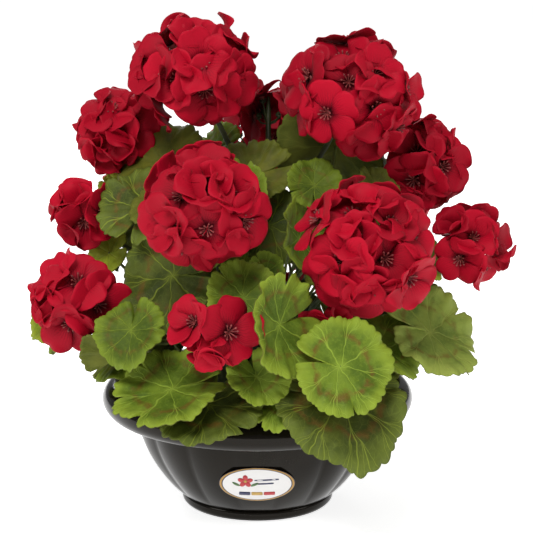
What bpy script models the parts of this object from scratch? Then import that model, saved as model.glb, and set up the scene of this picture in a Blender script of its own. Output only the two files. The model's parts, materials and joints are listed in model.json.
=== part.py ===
"""Red zonal geraniums standing in a black footed bowl.

The origin is the centre of the bowl's base, +Z is up and the front, with the label, faces -Y.
An azimuth is measured from the front towards +X. The crown is the plants above the bowl: a place
in it is an azimuth, a reach (the share of CROWN_RADIUS) and a height (the share of the way from
the rim to the top), so that the crown keeps its arrangement when its size changes.
"""

import itertools
import math

import bmesh
import bpy
from mathutils import Vector
from mathutils.bvhtree import BVHTree

# Driving dimensions, in metres
GAP = 0.0003                 # between two pieces that touch

RIM_RADIUS = 0.125
RIM_HEIGHT = 0.099
RIM_ROLL_WIDTH = 0.013       # half-width of the rolled rim
RIM_ROLL_DEPTH = 0.012       # half-height of the rolled rim
NECK_RADIUS = 0.100
NECK_HEIGHT = 0.084
WAIST_RADIUS = 0.063
FOOT_RADIUS = 0.058
FOOT_BULGE = 0.0035
FOOT_HEIGHT = 0.0095
BOWL_WALL = 0.003
WALL_SLANT = 1.4             # how much thicker the slanted wall is when it is measured level
FLUTES = 16
FLUTE_DEPTH = 0.0018

LABEL_WIDTH = 0.061
LABEL_HEIGHT = 0.038         # along the slanted wall
LABEL_CENTRE_HEIGHT = 0.040
LABEL_THICKNESS = 0.0006

SOIL_DEPTH_BELOW_RIM = 0.016
SOIL_CROWN = 0.005           # rise of the soil from the wall to the middle
PLANTING_DEPTH = 0.050

CROWN_RADIUS = 0.190
CROWN_HEIGHT = 0.303
HEAD_SHELL = 0.30            # thickness of a head's shell of petals, as a share of its radius
HEAD_FLATNESS = 0.88         # a head's height over its width, before it is cut off below
TRUNK_RADIUS = 0.0055
TRUNK_LEAN = 1.35            # a trunk's reach at its top over its reach at its foot
TRUNK_COLLAR = 0.004         # how far a trunk rises straight out of the soil
TOP_STALK = 0.93             # where a trunk's highest flower stalk leaves it, as a share of its height
STALK_SPREAD = 0.375         # the share of its height that its flower stalks leave it over
STALK_RADIUS = 0.0021
PETIOLE_RADIUS = 0.0013
LEAF_THICKNESS = 0.0012

# Fineness of the solids
BOWL_SEGMENTS = 3 * FLUTES
LABEL_SEGMENTS = 24
HEAD_SEGMENTS = 12
LEAF_SEGMENTS = 16
TRUNK_SIDES = 8
STALK_SIDES = 6
PETIOLE_SIDES = 5

# plant: azimuth and reach (share of the soil's radius) of its trunk, height of the trunk's top
PLANTS = {
    "front_left": (-40, 0.40, 0.21),
    "front_right": (42, 0.42, 0.19),
    "middle": (0, 0.0, 0.34),
    "back_left": (-138, 0.42, 0.24),
    "back_right": (138, 0.42, 0.24),
}

# head: plant, azimuth, reach, height, radius, and the way it faces (azimuth, elevation)
HEADS = {
    "top_left": ("middle", -78, 0.26, 0.82, 0.054, -50, 60),
    "top_right": ("middle", 71, 0.41, 0.77, 0.057, 40, 55),
    "top_middle": ("middle", 168, 0.22, 0.69, 0.029, 180, 65),
    "upper_left": ("back_left", -105, 0.60, 0.65, 0.037, -95, 45),
    "upper_right": ("back_right", 95, 0.66, 0.60, 0.043, 75, 50),
    "centre_left": ("front_left", -17, 0.66, 0.54, 0.050, -8, 35),
    "centre_right": ("front_right", 37, 0.72, 0.43, 0.056, 25, 40),
    "far_right": ("back_right", 83, 0.88, 0.38, 0.034, 70, 40),
    "middle_left": ("front_left", -84, 0.71, 0.46, 0.033, -75, 45),
    "low_left": ("front_left", -63, 0.80, 0.27, 0.041, -55, 25),
    "low_middle": ("front_left", -11, 0.81, 0.27, 0.038, -5, 25),
    "low_right": ("front_right", 26, 0.56, 0.25, 0.018, 20, 20),
    "back_top": ("back_left", 178, 0.55, 0.56, 0.044, 180, 50),
    "back_left": ("back_left", -136, 0.76, 0.40, 0.042, -140, 35),
    "back_right": ("back_right", 134, 0.78, 0.42, 0.045, 138, 35),
    "back_low": ("back_right", 172, 0.84, 0.24, 0.038, 174, 25),
}

# How a blade bends: cup lifts its edge, fold raises its two halves, droop lowers its tip, and
# ripple waves its edge, each as a share of its radius
HABITS = {
    "open": (0.10, 0.08, 0.15, 0.06),
    "cupped": (0.30, 0.10, 0.00, 0.08),
    "folded": (0.05, 0.55, 0.10, 0.06),
    "hanging": (-0.05, 0.10, 0.35, 0.07),
    "wavy": (0.05, 0.18, 0.20, 0.16),
    "domed": (-0.22, 0.05, 0.10, 0.08),
}

# leaf: plant, azimuth, reach, height, radius, the way its upper side faces (azimuth, elevation),
# the turn of its tip from pointing down the slope (towards +X in front), and its habit
LEAVES = {
    "centre_upright": ("front_right", 9, 0.72, 0.30, 0.042, 36, 14, -82, "cupped"),
    "front_right": ("front_right", 22, 0.85, 0.18, 0.040, 8, 24, 75, "open"),
    "rim_right": ("front_right", 24, 0.80, 0.08, 0.053, 12, 54, 8, "hanging"),
    "rim_middle": ("front_left", -15, 0.71, 0.06, 0.045, -5, 66, -12, "open"),
    "rim_left": ("front_left", -25, 0.78, 0.10, 0.047, -20, 66, -62, "open"),
    "dark_left": ("front_left", -37, 0.60, 0.36, 0.047, -25, 28, -80, "open"),
    "twisted_left": ("front_left", -43, 0.68, 0.24, 0.034, -125, 52, 30, "folded"),
    "low_middle": ("front_left", -22, 0.53, 0.23, 0.036, -5, 50, 15, "wavy"),
    "light_right": ("front_right", 62, 0.79, 0.19, 0.046, 40, 45, 65, "open"),
    "dark_upper_left": ("front_left", -58, 0.54, 0.50, 0.040, -25, 32, 175, "open"),
    "olive_upper_left": ("back_left", -94, 0.39, 0.62, 0.042, -35, 48, -95, "wavy"),
    "olive_top_right": ("middle", 85, 0.30, 0.59, 0.048, 168, 42, 95, "wavy"),
    "olive_top": ("middle", 150, 0.08, 0.56, 0.040, -20, 62, -60, "open"),
    "inner_green": ("middle", 14, 0.20, 0.46, 0.034, 5, 25, 20, "open"),
    "edge_on_right": ("middle", 31, 0.38, 0.42, 0.042, 62, 18, 0, "cupped"),
    "bright_right": ("middle", 38, 0.33, 0.52, 0.024, 15, 30, 170, "open"),
    "far_left": ("front_left", -78, 0.87, 0.24, 0.032, -40, 35, -70, "open"),
    "low_left": ("front_left", -57, 0.72, 0.16, 0.030, -40, 42, -50, "wavy"),
    "inner_left": ("front_left", -37, 0.70, 0.16, 0.030, -25, 38, 10, "wavy"),
    "behind_low_head": ("front_left", -18, 0.58, 0.32, 0.030, 0, 25, 175, "open"),
    "folded_front": ("front_left", -2, 0.66, 0.13, 0.028, 10, 40, 10, "folded"),
    "flat_front": ("front_right", 9, 0.68, 0.07, 0.030, 5, 72, 10, "domed"),
    "small_centre": ("middle", -2, 0.45, 0.34, 0.016, -5, 20, 170, "cupped"),
    "right_under_head": ("front_right", 48, 0.73, 0.17, 0.038, 35, 48, 40, "wavy"),
    "rim_far_right": ("front_right", 40, 0.70, 0.12, 0.028, 45, 40, 35, "folded"),
    "light_mid_left": ("front_left", -74, 0.66, 0.38, 0.022, -40, 35, -60, "open"),
    "light_tip_left": ("back_left", -92, 0.66, 0.53, 0.017, -30, 20, 175, "cupped"),
    "rim_far_left": ("front_left", -42, 0.64, 0.11, 0.024, -50, 35, -20, "open"),
    "behind_far_right": ("back_right", 82, 0.74, 0.33, 0.028, 60, 35, 60, "open"),
    "top_behind": ("back_left", -149, 0.26, 0.62, 0.030, -60, 50, -60, "open"),
    "back_rim_left": ("back_left", -140, 0.80, 0.10, 0.048, -140, 40, 10, "hanging"),
    "back_rim_right": ("back_right", 142, 0.80, 0.10, 0.050, 142, 42, -15, "wavy"),
    "back_rim": ("back_right", 178, 0.80, 0.08, 0.044, 178, 45, 10, "hanging"),
    "back_upper": ("back_left", 178, 0.52, 0.34, 0.044, 175, 35, 5, "open"),
    "side_right": ("back_right", 108, 0.80, 0.16, 0.046, 105, 45, 0, "open"),
    "side_left": ("back_left", -108, 0.80, 0.14, 0.044, -105, 42, 20, "wavy"),
}


def toward(azimuth, elevation=0.0):
    """The unit vector at an azimuth from the front and an elevation, both in degrees."""
    across, rise = math.radians(azimuth), math.radians(elevation)
    flat = math.cos(rise)
    return Vector((flat * math.sin(across), -flat * math.cos(across), math.sin(rise)))


def crown_point(azimuth, reach, height):
    return toward(azimuth) * CROWN_RADIUS * reach + Vector((0, 0, RIM_HEIGHT + CROWN_HEIGHT * height))


def bezier(start, first, second, end, steps):
    """Points along a cubic curve, both ends included."""
    points = []
    for step in range(steps + 1):
        t = step / steps
        u = 1 - t
        points.append(u**3 * start + 3 * u * u * t * first + 3 * u * t * t * second + t**3 * end)
    return points


def material(name, colour, roughness, metallic=0.0):
    made = bpy.data.materials.new(name)
    made.use_nodes = True
    shader = made.node_tree.nodes["Principled BSDF"]
    shader.inputs["Base Color"].default_value = (*colour, 1)
    shader.inputs["Roughness"].default_value = roughness
    shader.inputs["Metallic"].default_value = metallic
    made.diffuse_color = (*colour, 1)
    return made


def triangles(faces):
    """The same faces as triangles, so that every test and every mesh splits them alike."""
    return [(face[0], face[i], face[i + 1]) for face in faces for i in range(1, len(face) - 1)]


def add_object(name, verts, faces, finish):
    """Makes a mesh object whose faces point out."""
    mesh = bpy.data.meshes.new(name)
    mesh.from_pydata(verts, [], triangles(faces))
    shell = bmesh.new()
    shell.from_mesh(mesh)
    bmesh.ops.recalc_face_normals(shell, faces=shell.faces)
    shell.to_mesh(mesh)
    shell.free()
    mesh.shade_smooth()
    mesh.set_sharp_from_angle(angle=math.radians(50))
    mesh.materials.append(finish)
    made = bpy.data.objects.new(name, mesh)
    bpy.context.scene.collection.objects.link(made)
    return made


# Clear places: what is placed is remembered, so that the next piece can be tested against it

placed = []


def box_of(verts):
    low = Vector(min(v[i] for v in verts) for i in range(3))
    high = Vector(max(v[i] for v in verts) for i in range(3))
    return low, high


def remember(verts, faces):
    placed.append((box_of(verts), BVHTree.FromPolygons(verts, triangles(faces))))


def remember_object(made):
    mesh = made.data
    remember([v.co.copy() for v in mesh.vertices], [tuple(p.vertices) for p in mesh.polygons])


def is_clear(verts, faces):
    low, high = box_of(verts)
    tree = None
    for (other_low, other_high), other in placed:
        if any(low[i] > other_high[i] or high[i] < other_low[i] for i in range(3)):
            continue
        tree = tree or BVHTree.FromPolygons(verts, triangles(faces))
        if tree.overlap(other):
            return False
    return True


# Bowl

def body_radius(height):
    """The outer radius of the bowl's body between its foot and its neck, before the flutes."""
    share = (height - FOOT_HEIGHT) / (NECK_HEIGHT - FOOT_HEIGHT)
    swell = math.sin(math.pi / 2 * max(0.0, min(1.0, share)) ** 0.85)
    return WAIST_RADIUS + (NECK_RADIUS - WAIST_RADIUS) * swell


def inner_radius(height):
    """The radius of the bowl's inside, whose wall is thicker where the body slants."""
    return body_radius(height) - BOWL_WALL * WALL_SLANT


def rim_arc(shrink, start, end, steps):
    """Points (radius, height) round the rolled rim, between two angles in degrees."""
    centre_radius = RIM_RADIUS - RIM_ROLL_WIDTH
    centre_height = RIM_HEIGHT - RIM_ROLL_DEPTH
    points = []
    for step in range(steps + 1):
        angle = math.radians(start + (end - start) * step / steps)
        radius = centre_radius + (RIM_ROLL_WIDTH - shrink) * math.cos(angle)
        points.append((radius, centre_height + (RIM_ROLL_DEPTH - shrink) * math.sin(angle)))
    return points


def body_heights(steps):
    return [FOOT_HEIGHT + (NECK_HEIGHT - FOOT_HEIGHT) * (step / steps) ** 1.2 for step in range(steps + 1)]


def turned(profile, segments, turn, flute_depth=None):
    """A solid turned about Z. The profile's (radius, height) points run between two on the axis."""
    verts = [Vector((0, 0, profile[0][1]))]
    for index, (radius, height) in enumerate(profile[1:-1]):
        depth = flute_depth[index] if flute_depth else 0.0
        for segment in range(segments):
            angle = 2 * math.pi * segment / segments + turn
            ridge = abs(math.sin(FLUTES / 2 * (angle - turn)))
            reach = radius - depth * (1 - ridge)
            verts.append(Vector((reach * math.sin(angle), -reach * math.cos(angle), height)))
    verts.append(Vector((0, 0, profile[-1][1])))
    faces = []
    rings = len(profile) - 2
    for segment in range(segments):
        after = (segment + 1) % segments
        faces.append((0, 1 + segment, 1 + after))
        for ring in range(rings - 1):
            low, high = 1 + ring * segments, 1 + (ring + 1) * segments
            faces.append((low + segment, high + segment, high + after, low + after))
        last = 1 + (rings - 1) * segments
        faces.append((last + segment, len(verts) - 1, last + after))
    return verts, faces


def make_bowl(finish):
    foot = []
    for angle in (-65, -25, 25, 70):
        swell = math.radians(angle)
        bulge = FOOT_BULGE * math.cos(swell)
        foot.append((FOOT_RADIUS + bulge, FOOT_HEIGHT / 2 * (1 + math.sin(swell))))
    outside = [(body_radius(height), height) for height in body_heights(6)]
    channel = rim_arc(BOWL_WALL, 170, -70, 5)
    roll = rim_arc(0.0, -80, 165, 8)
    inside = [(inner_radius(height), height) for height in reversed(body_heights(4))]
    floor = BOWL_WALL
    profile = [(0, 0), (FOOT_RADIUS - FOOT_BULGE, 0)] + foot + outside + channel + roll + inside
    profile += [(FOOT_RADIUS - BOWL_WALL, floor), (0, floor)]
    first_body = 1 + len(foot)
    depths = [0.0] * len(profile)
    for step in range(len(outside)):
        depths[first_body + step] = FLUTE_DEPTH * math.sin(math.pi * step / (len(outside) - 1)) ** 0.6
    turn = math.pi / FLUTES
    verts, faces = turned(profile, BOWL_SEGMENTS, turn, depths)
    bowl = add_object("bowl", verts, faces, finish)
    remember(verts, faces)
    return bowl


def make_label(finish):
    """An oval sticker that follows the front of the body."""
    reach = 0.4 * LABEL_HEIGHT
    rise = body_radius(LABEL_CENTRE_HEIGHT + reach) - body_radius(LABEL_CENTRE_HEIGHT - reach)
    lean = math.atan2(rise, 2 * reach)
    rings = (0.45, 0.8, 1.0)
    clearance = 2 * GAP

    def layer(lift):
        verts = []
        for share in (0.0,) + rings:
            for segment in range(LABEL_SEGMENTS if share else 1):
                angle = 2 * math.pi * segment / LABEL_SEGMENTS
                across = share * LABEL_WIDTH / 2 * math.cos(angle)
                up = share * LABEL_HEIGHT / 2 * math.sin(angle) * math.cos(lean)
                height = LABEL_CENTRE_HEIGHT + up
                radius = body_radius(height) + lift
                turn = across / radius
                verts.append(Vector((radius * math.sin(turn), -radius * math.cos(turn), height)))
        return verts

    front = layer(clearance + LABEL_THICKNESS)
    back = layer(clearance)
    faces = []
    count = len(front)
    for segment in range(LABEL_SEGMENTS):
        after = (segment + 1) % LABEL_SEGMENTS
        for base in (0, count):
            faces.append((base, base + 1 + segment, base + 1 + after))
            for ring in range(len(rings) - 1):
                low = base + 1 + ring * LABEL_SEGMENTS
                high = low + LABEL_SEGMENTS
                faces.append((low + segment, high + segment, high + after, low + after))
        edge = 1 + (len(rings) - 1) * LABEL_SEGMENTS
        faces.append((edge + segment, count + edge + segment, count + edge + after, edge + after))
    verts = front + back
    add_object("label", verts, faces, finish)
    remember(verts, faces)


# Soil

def soil_top(radius):
    level = RIM_HEIGHT - SOIL_DEPTH_BELOW_RIM
    return level + SOIL_CROWN * (1 - (radius / NECK_RADIUS) ** 2)


def trunk_foot(plant):
    azimuth, reach, _ = PLANTS[plant]
    spot = toward(azimuth) * reach * NECK_RADIUS
    spot.z = soil_top(0) - PLANTING_DEPTH
    return spot


def make_soil(finish):
    """The compost that fills the bowl, with a hole for each trunk."""
    floor = BOWL_WALL + GAP
    level = RIM_HEIGHT - SOIL_DEPTH_BELOW_RIM
    profile = [(0, floor), (FOOT_RADIUS - BOWL_WALL - 2 * GAP, floor)]
    for height in body_heights(4):
        if height < level:
            profile.append((inner_radius(height) - 1.5 * GAP, height + GAP))
    profile.append((inner_radius(level) - 1.5 * GAP, level))
    for share in (0.8, 0.55, 0.25):
        profile.append((NECK_RADIUS * share, soil_top(NECK_RADIUS * share)))
    profile.append((0, soil_top(0)))
    verts, faces = turned(profile, BOWL_SEGMENTS, math.pi / FLUTES)
    soil = add_object("soil", verts, faces, finish)
    for plant in PLANTS:
        foot = trunk_foot(plant)
        top = foot + Vector((0, 0, PLANTING_DEPTH * 2))
        hole = tube([foot, top], [TRUNK_RADIUS + GAP * 1.5] * 2, TRUNK_SIDES)
        cut_with(soil, "DIFFERENCE", "hole_" + plant, *hole)
    remember_object(soil)


def cut_with(target, operation, name, verts, faces):
    """Applies a Boolean between an object and a closed mesh."""
    other = add_object(name, verts, faces, target.data.materials[0])
    other.hide_render = True
    other.display_type = "WIRE"
    change = target.modifiers.new(name, "BOOLEAN")
    change.operation = operation
    change.solver = "EXACT"
    change.object = other
    graph = bpy.context.evaluated_depsgraph_get()
    result = bpy.data.meshes.new_from_object(target.evaluated_get(graph))
    target.modifiers.remove(change)
    old = target.data
    target.data = result
    bpy.data.meshes.remove(old)
    bpy.data.objects.remove(other)


# Stems

def tube(points, radii, sides, first_side=None):
    """A closed tube along points, with a flat cap at each end."""
    verts = []
    direction = (points[1] - points[0]).normalized()
    side = first_side or direction.orthogonal().normalized()
    for index, point in enumerate(points):
        before = points[max(index - 1, 0)]
        after = points[min(index + 1, len(points) - 1)]
        new_direction = (after - before).normalized()
        side = direction.rotation_difference(new_direction) @ side
        direction = new_direction
        other = direction.cross(side).normalized()
        for corner in range(sides):
            angle = 2 * math.pi * corner / sides
            spoke = side * math.cos(angle) + other * math.sin(angle)
            verts.append(point + spoke * radii[index])
    faces = [tuple(range(sides)), tuple(range(len(verts) - sides, len(verts)))]
    faces += tube_walls(0, len(points), sides)
    return verts, faces


def tube_walls(first, rings, sides):
    faces = []
    for ring in range(rings - 1):
        low = first + ring * sides
        for corner in range(sides):
            after = (corner + 1) % sides
            faces.append((low + corner, low + after, low + sides + after, low + sides + corner))
    return faces


def trunk_line(plant):
    """The points along a trunk's middle: upright in the soil, then leaning outwards."""
    azimuth, reach, height = PLANTS[plant]
    foot = trunk_foot(plant)
    collar = foot.copy()
    collar.z = soil_top(0) + TRUNK_COLLAR
    top = toward(azimuth) * reach * NECK_RADIUS * TRUNK_LEAN
    top.z = RIM_HEIGHT + CROWN_HEIGHT * height
    lift = Vector((0, 0, (top.z - collar.z) / 3))
    return [foot] + bezier(collar, collar + lift, top - lift * 1.2, top, 4)


def on_trunk(plant, share):
    """The point a share of the way up the part of a trunk that stands above the soil."""
    line = trunk_line(plant)[1:]
    place = max(0.0, min(0.999, share)) * (len(line) - 1)
    index = int(place)
    return line[index].lerp(line[index + 1], place - index)


def stalk_line(head, height_share, swing):
    """The points along a flower stalk, from inside its trunk to just under the head's shell."""
    plant = HEADS[head][0]
    centre, facing, radius = head_place[head]
    start = on_trunk(plant, height_share)
    entry = centre - facing * radius * 0.95
    end = centre + facing * (radius * (1 - HEAD_SHELL) * HEAD_FLATNESS - GAP * 4)
    span = (entry - start).length
    rise = Vector((0, 0, span * 0.45))
    outward = (entry - start).normalized()
    aside = outward.cross(Vector((0, 0, 1))).normalized() * span * swing
    curve = bezier(start, start + outward * span * 0.1 + rise + aside, entry - facing * span * 0.3 + aside, entry, 6)
    return curve + [end]


def make_stems(plant, finish):
    """One plant's trunk with its flower stalks, which grew as one piece."""
    line = trunk_line(plant)
    taper = [TRUNK_RADIUS] * (len(line) - 2) + [TRUNK_RADIUS * 0.85, TRUNK_RADIUS * 0.7]
    stems = add_object("stems_" + plant, *tube(line, taper, TRUNK_SIDES), finish)
    heads = [head for head in HEADS if HEADS[head][0] == plant]
    for index, head in enumerate(heads):
        share = TOP_STALK - STALK_SPREAD * index / len(heads)
        swings = (0.0, 0.12, -0.12, 0.24, -0.24, 0.36, -0.36, 0.5, -0.5)
        for drop, swing in itertools.product((0.0, 0.08, 0.16), swings):
            points = stalk_line(head, share - drop, swing)
            probe = tube(points, [STALK_RADIUS + GAP * 2] * len(points), STALK_SIDES)
            if is_clear(*probe):
                break
        stalk = tube(points, [STALK_RADIUS] * len(points), STALK_SIDES)
        cut_with(stems, "UNION", "stalk_" + head, *stalk)
    remember_object(stems)


# Flower heads

head_place = {}


def floret_bumps(count):
    """Directions spread evenly over a ball, one for each floret of a head."""
    turn = math.pi * (3 - math.sqrt(5))
    directions = []
    for index in range(count):
        rise = 1 - 2 * (index + 0.5) / count
        flat = math.sqrt(1 - rise * rise)
        directions.append(Vector((flat * math.cos(turn * index), flat * math.sin(turn * index), rise)))
    return directions


def head_shell(centre, facing, radius, spare=0.0):
    """A dome of petals, open below where the stalk comes in."""
    side = facing.orthogonal().normalized()
    other = facing.cross(side)
    bumps = floret_bumps(14)
    outer_angles = (24, 48, 72, 96, 118)
    inner_angles = (114, 84, 44)
    inner = radius * (1 - HEAD_SHELL)

    def ring(angle, reach, lumpy):
        tilt = math.radians(angle)
        verts = []
        for segment in range(HEAD_SEGMENTS):
            around = 2 * math.pi * segment / HEAD_SEGMENTS
            local = Vector((math.sin(tilt) * math.cos(around), math.sin(tilt) * math.sin(around), math.cos(tilt)))
            bump = max(local.dot(bump) for bump in bumps)
            length = reach * (1 + lumpy * (bump - 1))
            local.z *= HEAD_FLATNESS
            verts.append(centre + (side * local.x + other * local.y + facing * local.z) * length)
        return verts

    verts = [centre + facing * (radius + spare) * HEAD_FLATNESS]
    for angle in outer_angles:
        verts += ring(angle, radius + spare, 0.7)
    for angle in inner_angles:
        verts += ring(angle, inner - spare, 0.0)
    verts.append(centre + facing * (inner - spare) * HEAD_FLATNESS)
    faces = []
    rings = len(outer_angles) + len(inner_angles)
    for segment in range(HEAD_SEGMENTS):
        after = (segment + 1) % HEAD_SEGMENTS
        faces.append((0, 1 + segment, 1 + after))
        for index in range(rings - 1):
            low = 1 + index * HEAD_SEGMENTS
            high = low + HEAD_SEGMENTS
            faces.append((low + segment, high + segment, high + after, low + after))
        last = 1 + (rings - 1) * HEAD_SEGMENTS
        faces.append((last + segment, len(verts) - 1, last + after))
    return verts, faces


def nudges(step, tries):
    """Small moves in order of length, nearer ones first, with depth moves before sideways ones."""
    shares = range(-tries, tries + 1)
    moves = [Vector((x * step, y * step * 1.4, z * step)) for x, y, z in itertools.product(shares, repeat=3)]
    return sorted(moves, key=lambda move: (round(move.length, 5), tuple(move)))


def make_head(name, finish):
    _, azimuth, reach, height, radius, face_azimuth, face_elevation = HEADS[name]
    facing = toward(face_azimuth, face_elevation)
    for nudge in nudges(0.004, 4):
        centre = crown_point(azimuth, reach, height) + nudge
        if is_clear(*head_shell(centre, facing, radius, GAP * 3)):
            break
    head_place[name] = (centre, facing, radius)
    verts, faces = head_shell(centre, facing, radius)
    add_object("flower_head_" + name, verts, faces, finish)
    remember(verts, faces)


# Leaves

def leaf_outline(index):
    """The blade's reach at one of its rim points, with the notch opposite the tip."""
    if index == LEAF_SEGMENTS // 2:
        return 0.25
    around = 2 * math.pi * index / LEAF_SEGMENTS
    return 1 - 0.06 * (1 - math.cos(around))


def blade_point(share, index, radius, frame, habit, phase):
    tip, side, normal = frame
    cup, fold, droop, ripple = HABITS[habit]
    around = 2 * math.pi * index / LEAF_SEGMENTS
    reach = share * leaf_outline(index)
    along, across = reach * math.cos(around), reach * math.sin(around)
    lift = cup * reach**2 + fold * math.sqrt(across**2 + 0.01) - fold * 0.1
    lift -= droop * max(along, 0) ** 2
    lift += ripple * reach**2 * math.cos(3 * around + phase)
    return (tip * along + side * across + normal * lift) * radius


def blade_mesh(root, radius, frame, habit, phase, spare):
    """The blade alone, left open in the middle of its underside, and its first underside vertex."""
    half = frame[2] * (LEAF_THICKNESS / 2 + spare)
    shares = (0.5, 1.0)
    top = [root + half]
    bottom = []
    for share in shares:
        for index in range(LEAF_SEGMENTS):
            point = root + blade_point(share, index, radius, frame, habit, phase)
            top.append(point + half)
            bottom.append(point - half)
    verts = top + bottom
    under = len(top)
    faces = []
    for index in range(LEAF_SEGMENTS):
        after = (index + 1) % LEAF_SEGMENTS
        faces.append((0, 1 + index, 1 + after))
        inner, outer = 1, 1 + LEAF_SEGMENTS
        faces.append((inner + index, outer + index, outer + after, inner + after))
        inner, outer = under, under + LEAF_SEGMENTS
        faces.append((inner + index, inner + after, outer + after, outer + index))
        faces.append((1 + LEAF_SEGMENTS + index, outer + index, outer + after, 1 + LEAF_SEGMENTS + after))
    return verts, faces, under


def petiole_tube(petiole, tip, spare):
    return tube(petiole, [PETIOLE_RADIUS + spare] * len(petiole), PETIOLE_SIDES, tip)


def leaf_mesh(root, radius, frame, habit, phase, petiole, spare):
    """The blade and its petiole as one closed shell. The petiole leaves the middle of the underside."""
    verts, faces, under = blade_mesh(root, radius, frame, habit, phase, spare)
    first = len(verts)
    stalk, walls = petiole_tube(petiole, frame[0], spare)
    verts += stalk
    faces += [tuple(first + corner for corner in face) for face in walls[1:]]

    def corner_under(index):
        """The petiole's corner nearest to a rim point. Seen from above, the petiole's corners run backwards."""
        return -round(index * PETIOLE_SIDES / LEAF_SEGMENTS) % PETIOLE_SIDES

    for index in range(LEAF_SEGMENTS):
        after = (index + 1) % LEAF_SEGMENTS
        corner = corner_under(index)
        next_corner = corner_under(index + 1)
        faces.append((under + index, under + after, first + corner))
        if corner != next_corner:
            faces.append((under + after, first + next_corner, first + corner))
    return verts, faces


def meets_itself(blade_tree, petiole, tip):
    """Whether a petiole comes back to its own blade beyond its first ring."""
    verts, faces = petiole_tube(petiole[1:], tip, GAP)
    return bool(blade_tree.overlap(BVHTree.FromPolygons(verts, triangles(faces))))


def petiole_line(root, normal, plant, share, swing, pull, rise):
    """The points from the blade's underside to the side of its trunk."""
    axis = on_trunk(plant, share)
    start = root - normal * LEAF_THICKNESS / 2
    outward = start - axis
    outward.z = 0
    outward = outward.normalized()
    aside = outward.cross(Vector((0, 0, 1)))
    outward = (outward + aside * swing).normalized()
    end = axis + outward * (TRUNK_RADIUS + GAP * 1.5)
    span = (start - end).length
    bend = end + outward * span * 0.35 + Vector((0, 0, span * rise))
    return [start] + bezier(start - normal * 2 * PETIOLE_RADIUS, start - normal * span * pull, bend, end, 5)


def make_leaf(name, finish):
    plant, azimuth, reach, height, radius, face_azimuth, face_elevation, roll, habit = LEAVES[name]
    phase = azimuth / 20
    attachments = (0.30, 0.45, 0.15, 0.60, 0.38, 0.22, 0.52, 0.68, 0.08, 0.76)
    bends = ((0.40, 0.12), (0.20, 0.30), (0.60, -0.15), (0.15, 0.0))
    swings = (0.0, 0.5, -0.5, 1.0, -1.0)
    tilts = ((0, 0), (0, 12), (0, -12), (14, 0), (-14, 0))
    tried = sorted(
        itertools.product(nudges(0.005, 2) + nudges(0.012, 4), tilts),
        key=lambda option: option[0].length + 0.0004 * (abs(option[1][0]) + abs(option[1][1])),
    )
    for nudge, (pan, tilt) in tried:
        normal = toward(face_azimuth + pan, face_elevation + tilt)
        down = toward(face_azimuth + pan, face_elevation + tilt - 90)
        across = normal.cross(down)
        turn = math.radians(roll)
        tip = down * math.cos(turn) + across * math.sin(turn)
        frame = (tip, normal.cross(tip), normal)
        root = crown_point(azimuth, reach, height) + nudge
        stub = [root - normal * LEAF_THICKNESS / 2, root - normal * 0.004]
        if not is_clear(*leaf_mesh(root, radius, frame, habit, phase, stub, GAP * 2)):
            continue
        blade, blade_faces, _ = blade_mesh(root, radius, frame, habit, phase, 0.0)
        blade_tree = BVHTree.FromPolygons(blade, triangles(blade_faces))
        for (pull, rise), swing, share in itertools.product(bends, swings, attachments):
            petiole = petiole_line(root, normal, plant, share, swing, pull, rise)
            if meets_itself(blade_tree, petiole, tip):
                continue
            if is_clear(*leaf_mesh(root, radius, frame, habit, phase, petiole, GAP)):
                verts, faces = leaf_mesh(root, radius, frame, habit, phase, petiole, 0.0)
                add_object("leaf_" + name, verts, faces, finish)
                remember(verts, faces)
                return
    raise RuntimeError("no clear place for leaf " + name)


def main():
    for old in list(bpy.data.objects):
        bpy.data.objects.remove(old)
    make_bowl(material("black_gloss", (0.012, 0.011, 0.012), 0.18))
    make_label(material("label_print", (0.78, 0.78, 0.82), 0.35))
    make_soil(material("compost", (0.022, 0.014, 0.010), 0.95))
    petals = material("red_petals", (0.42, 0.010, 0.020), 0.75)
    for name in HEADS:
        make_head(name, petals)
    stem_green = material("stem_green", (0.020, 0.035, 0.018), 0.55)
    for plant in PLANTS:
        make_stems(plant, stem_green)
    leaf_green = material("leaf_green", (0.12, 0.22, 0.035), 0.6)
    for name in LEAVES:
        make_leaf(name, leaf_green)


main()
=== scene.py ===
"""Red geraniums in a black fluted bowl: florets, leaves, stems, compost and bowl, over the fixed frame."""

import json
import math

import bmesh
import bpy
import numpy as np
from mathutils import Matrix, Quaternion, Vector, noise
from mathutils.bvhtree import BVHTree

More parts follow.
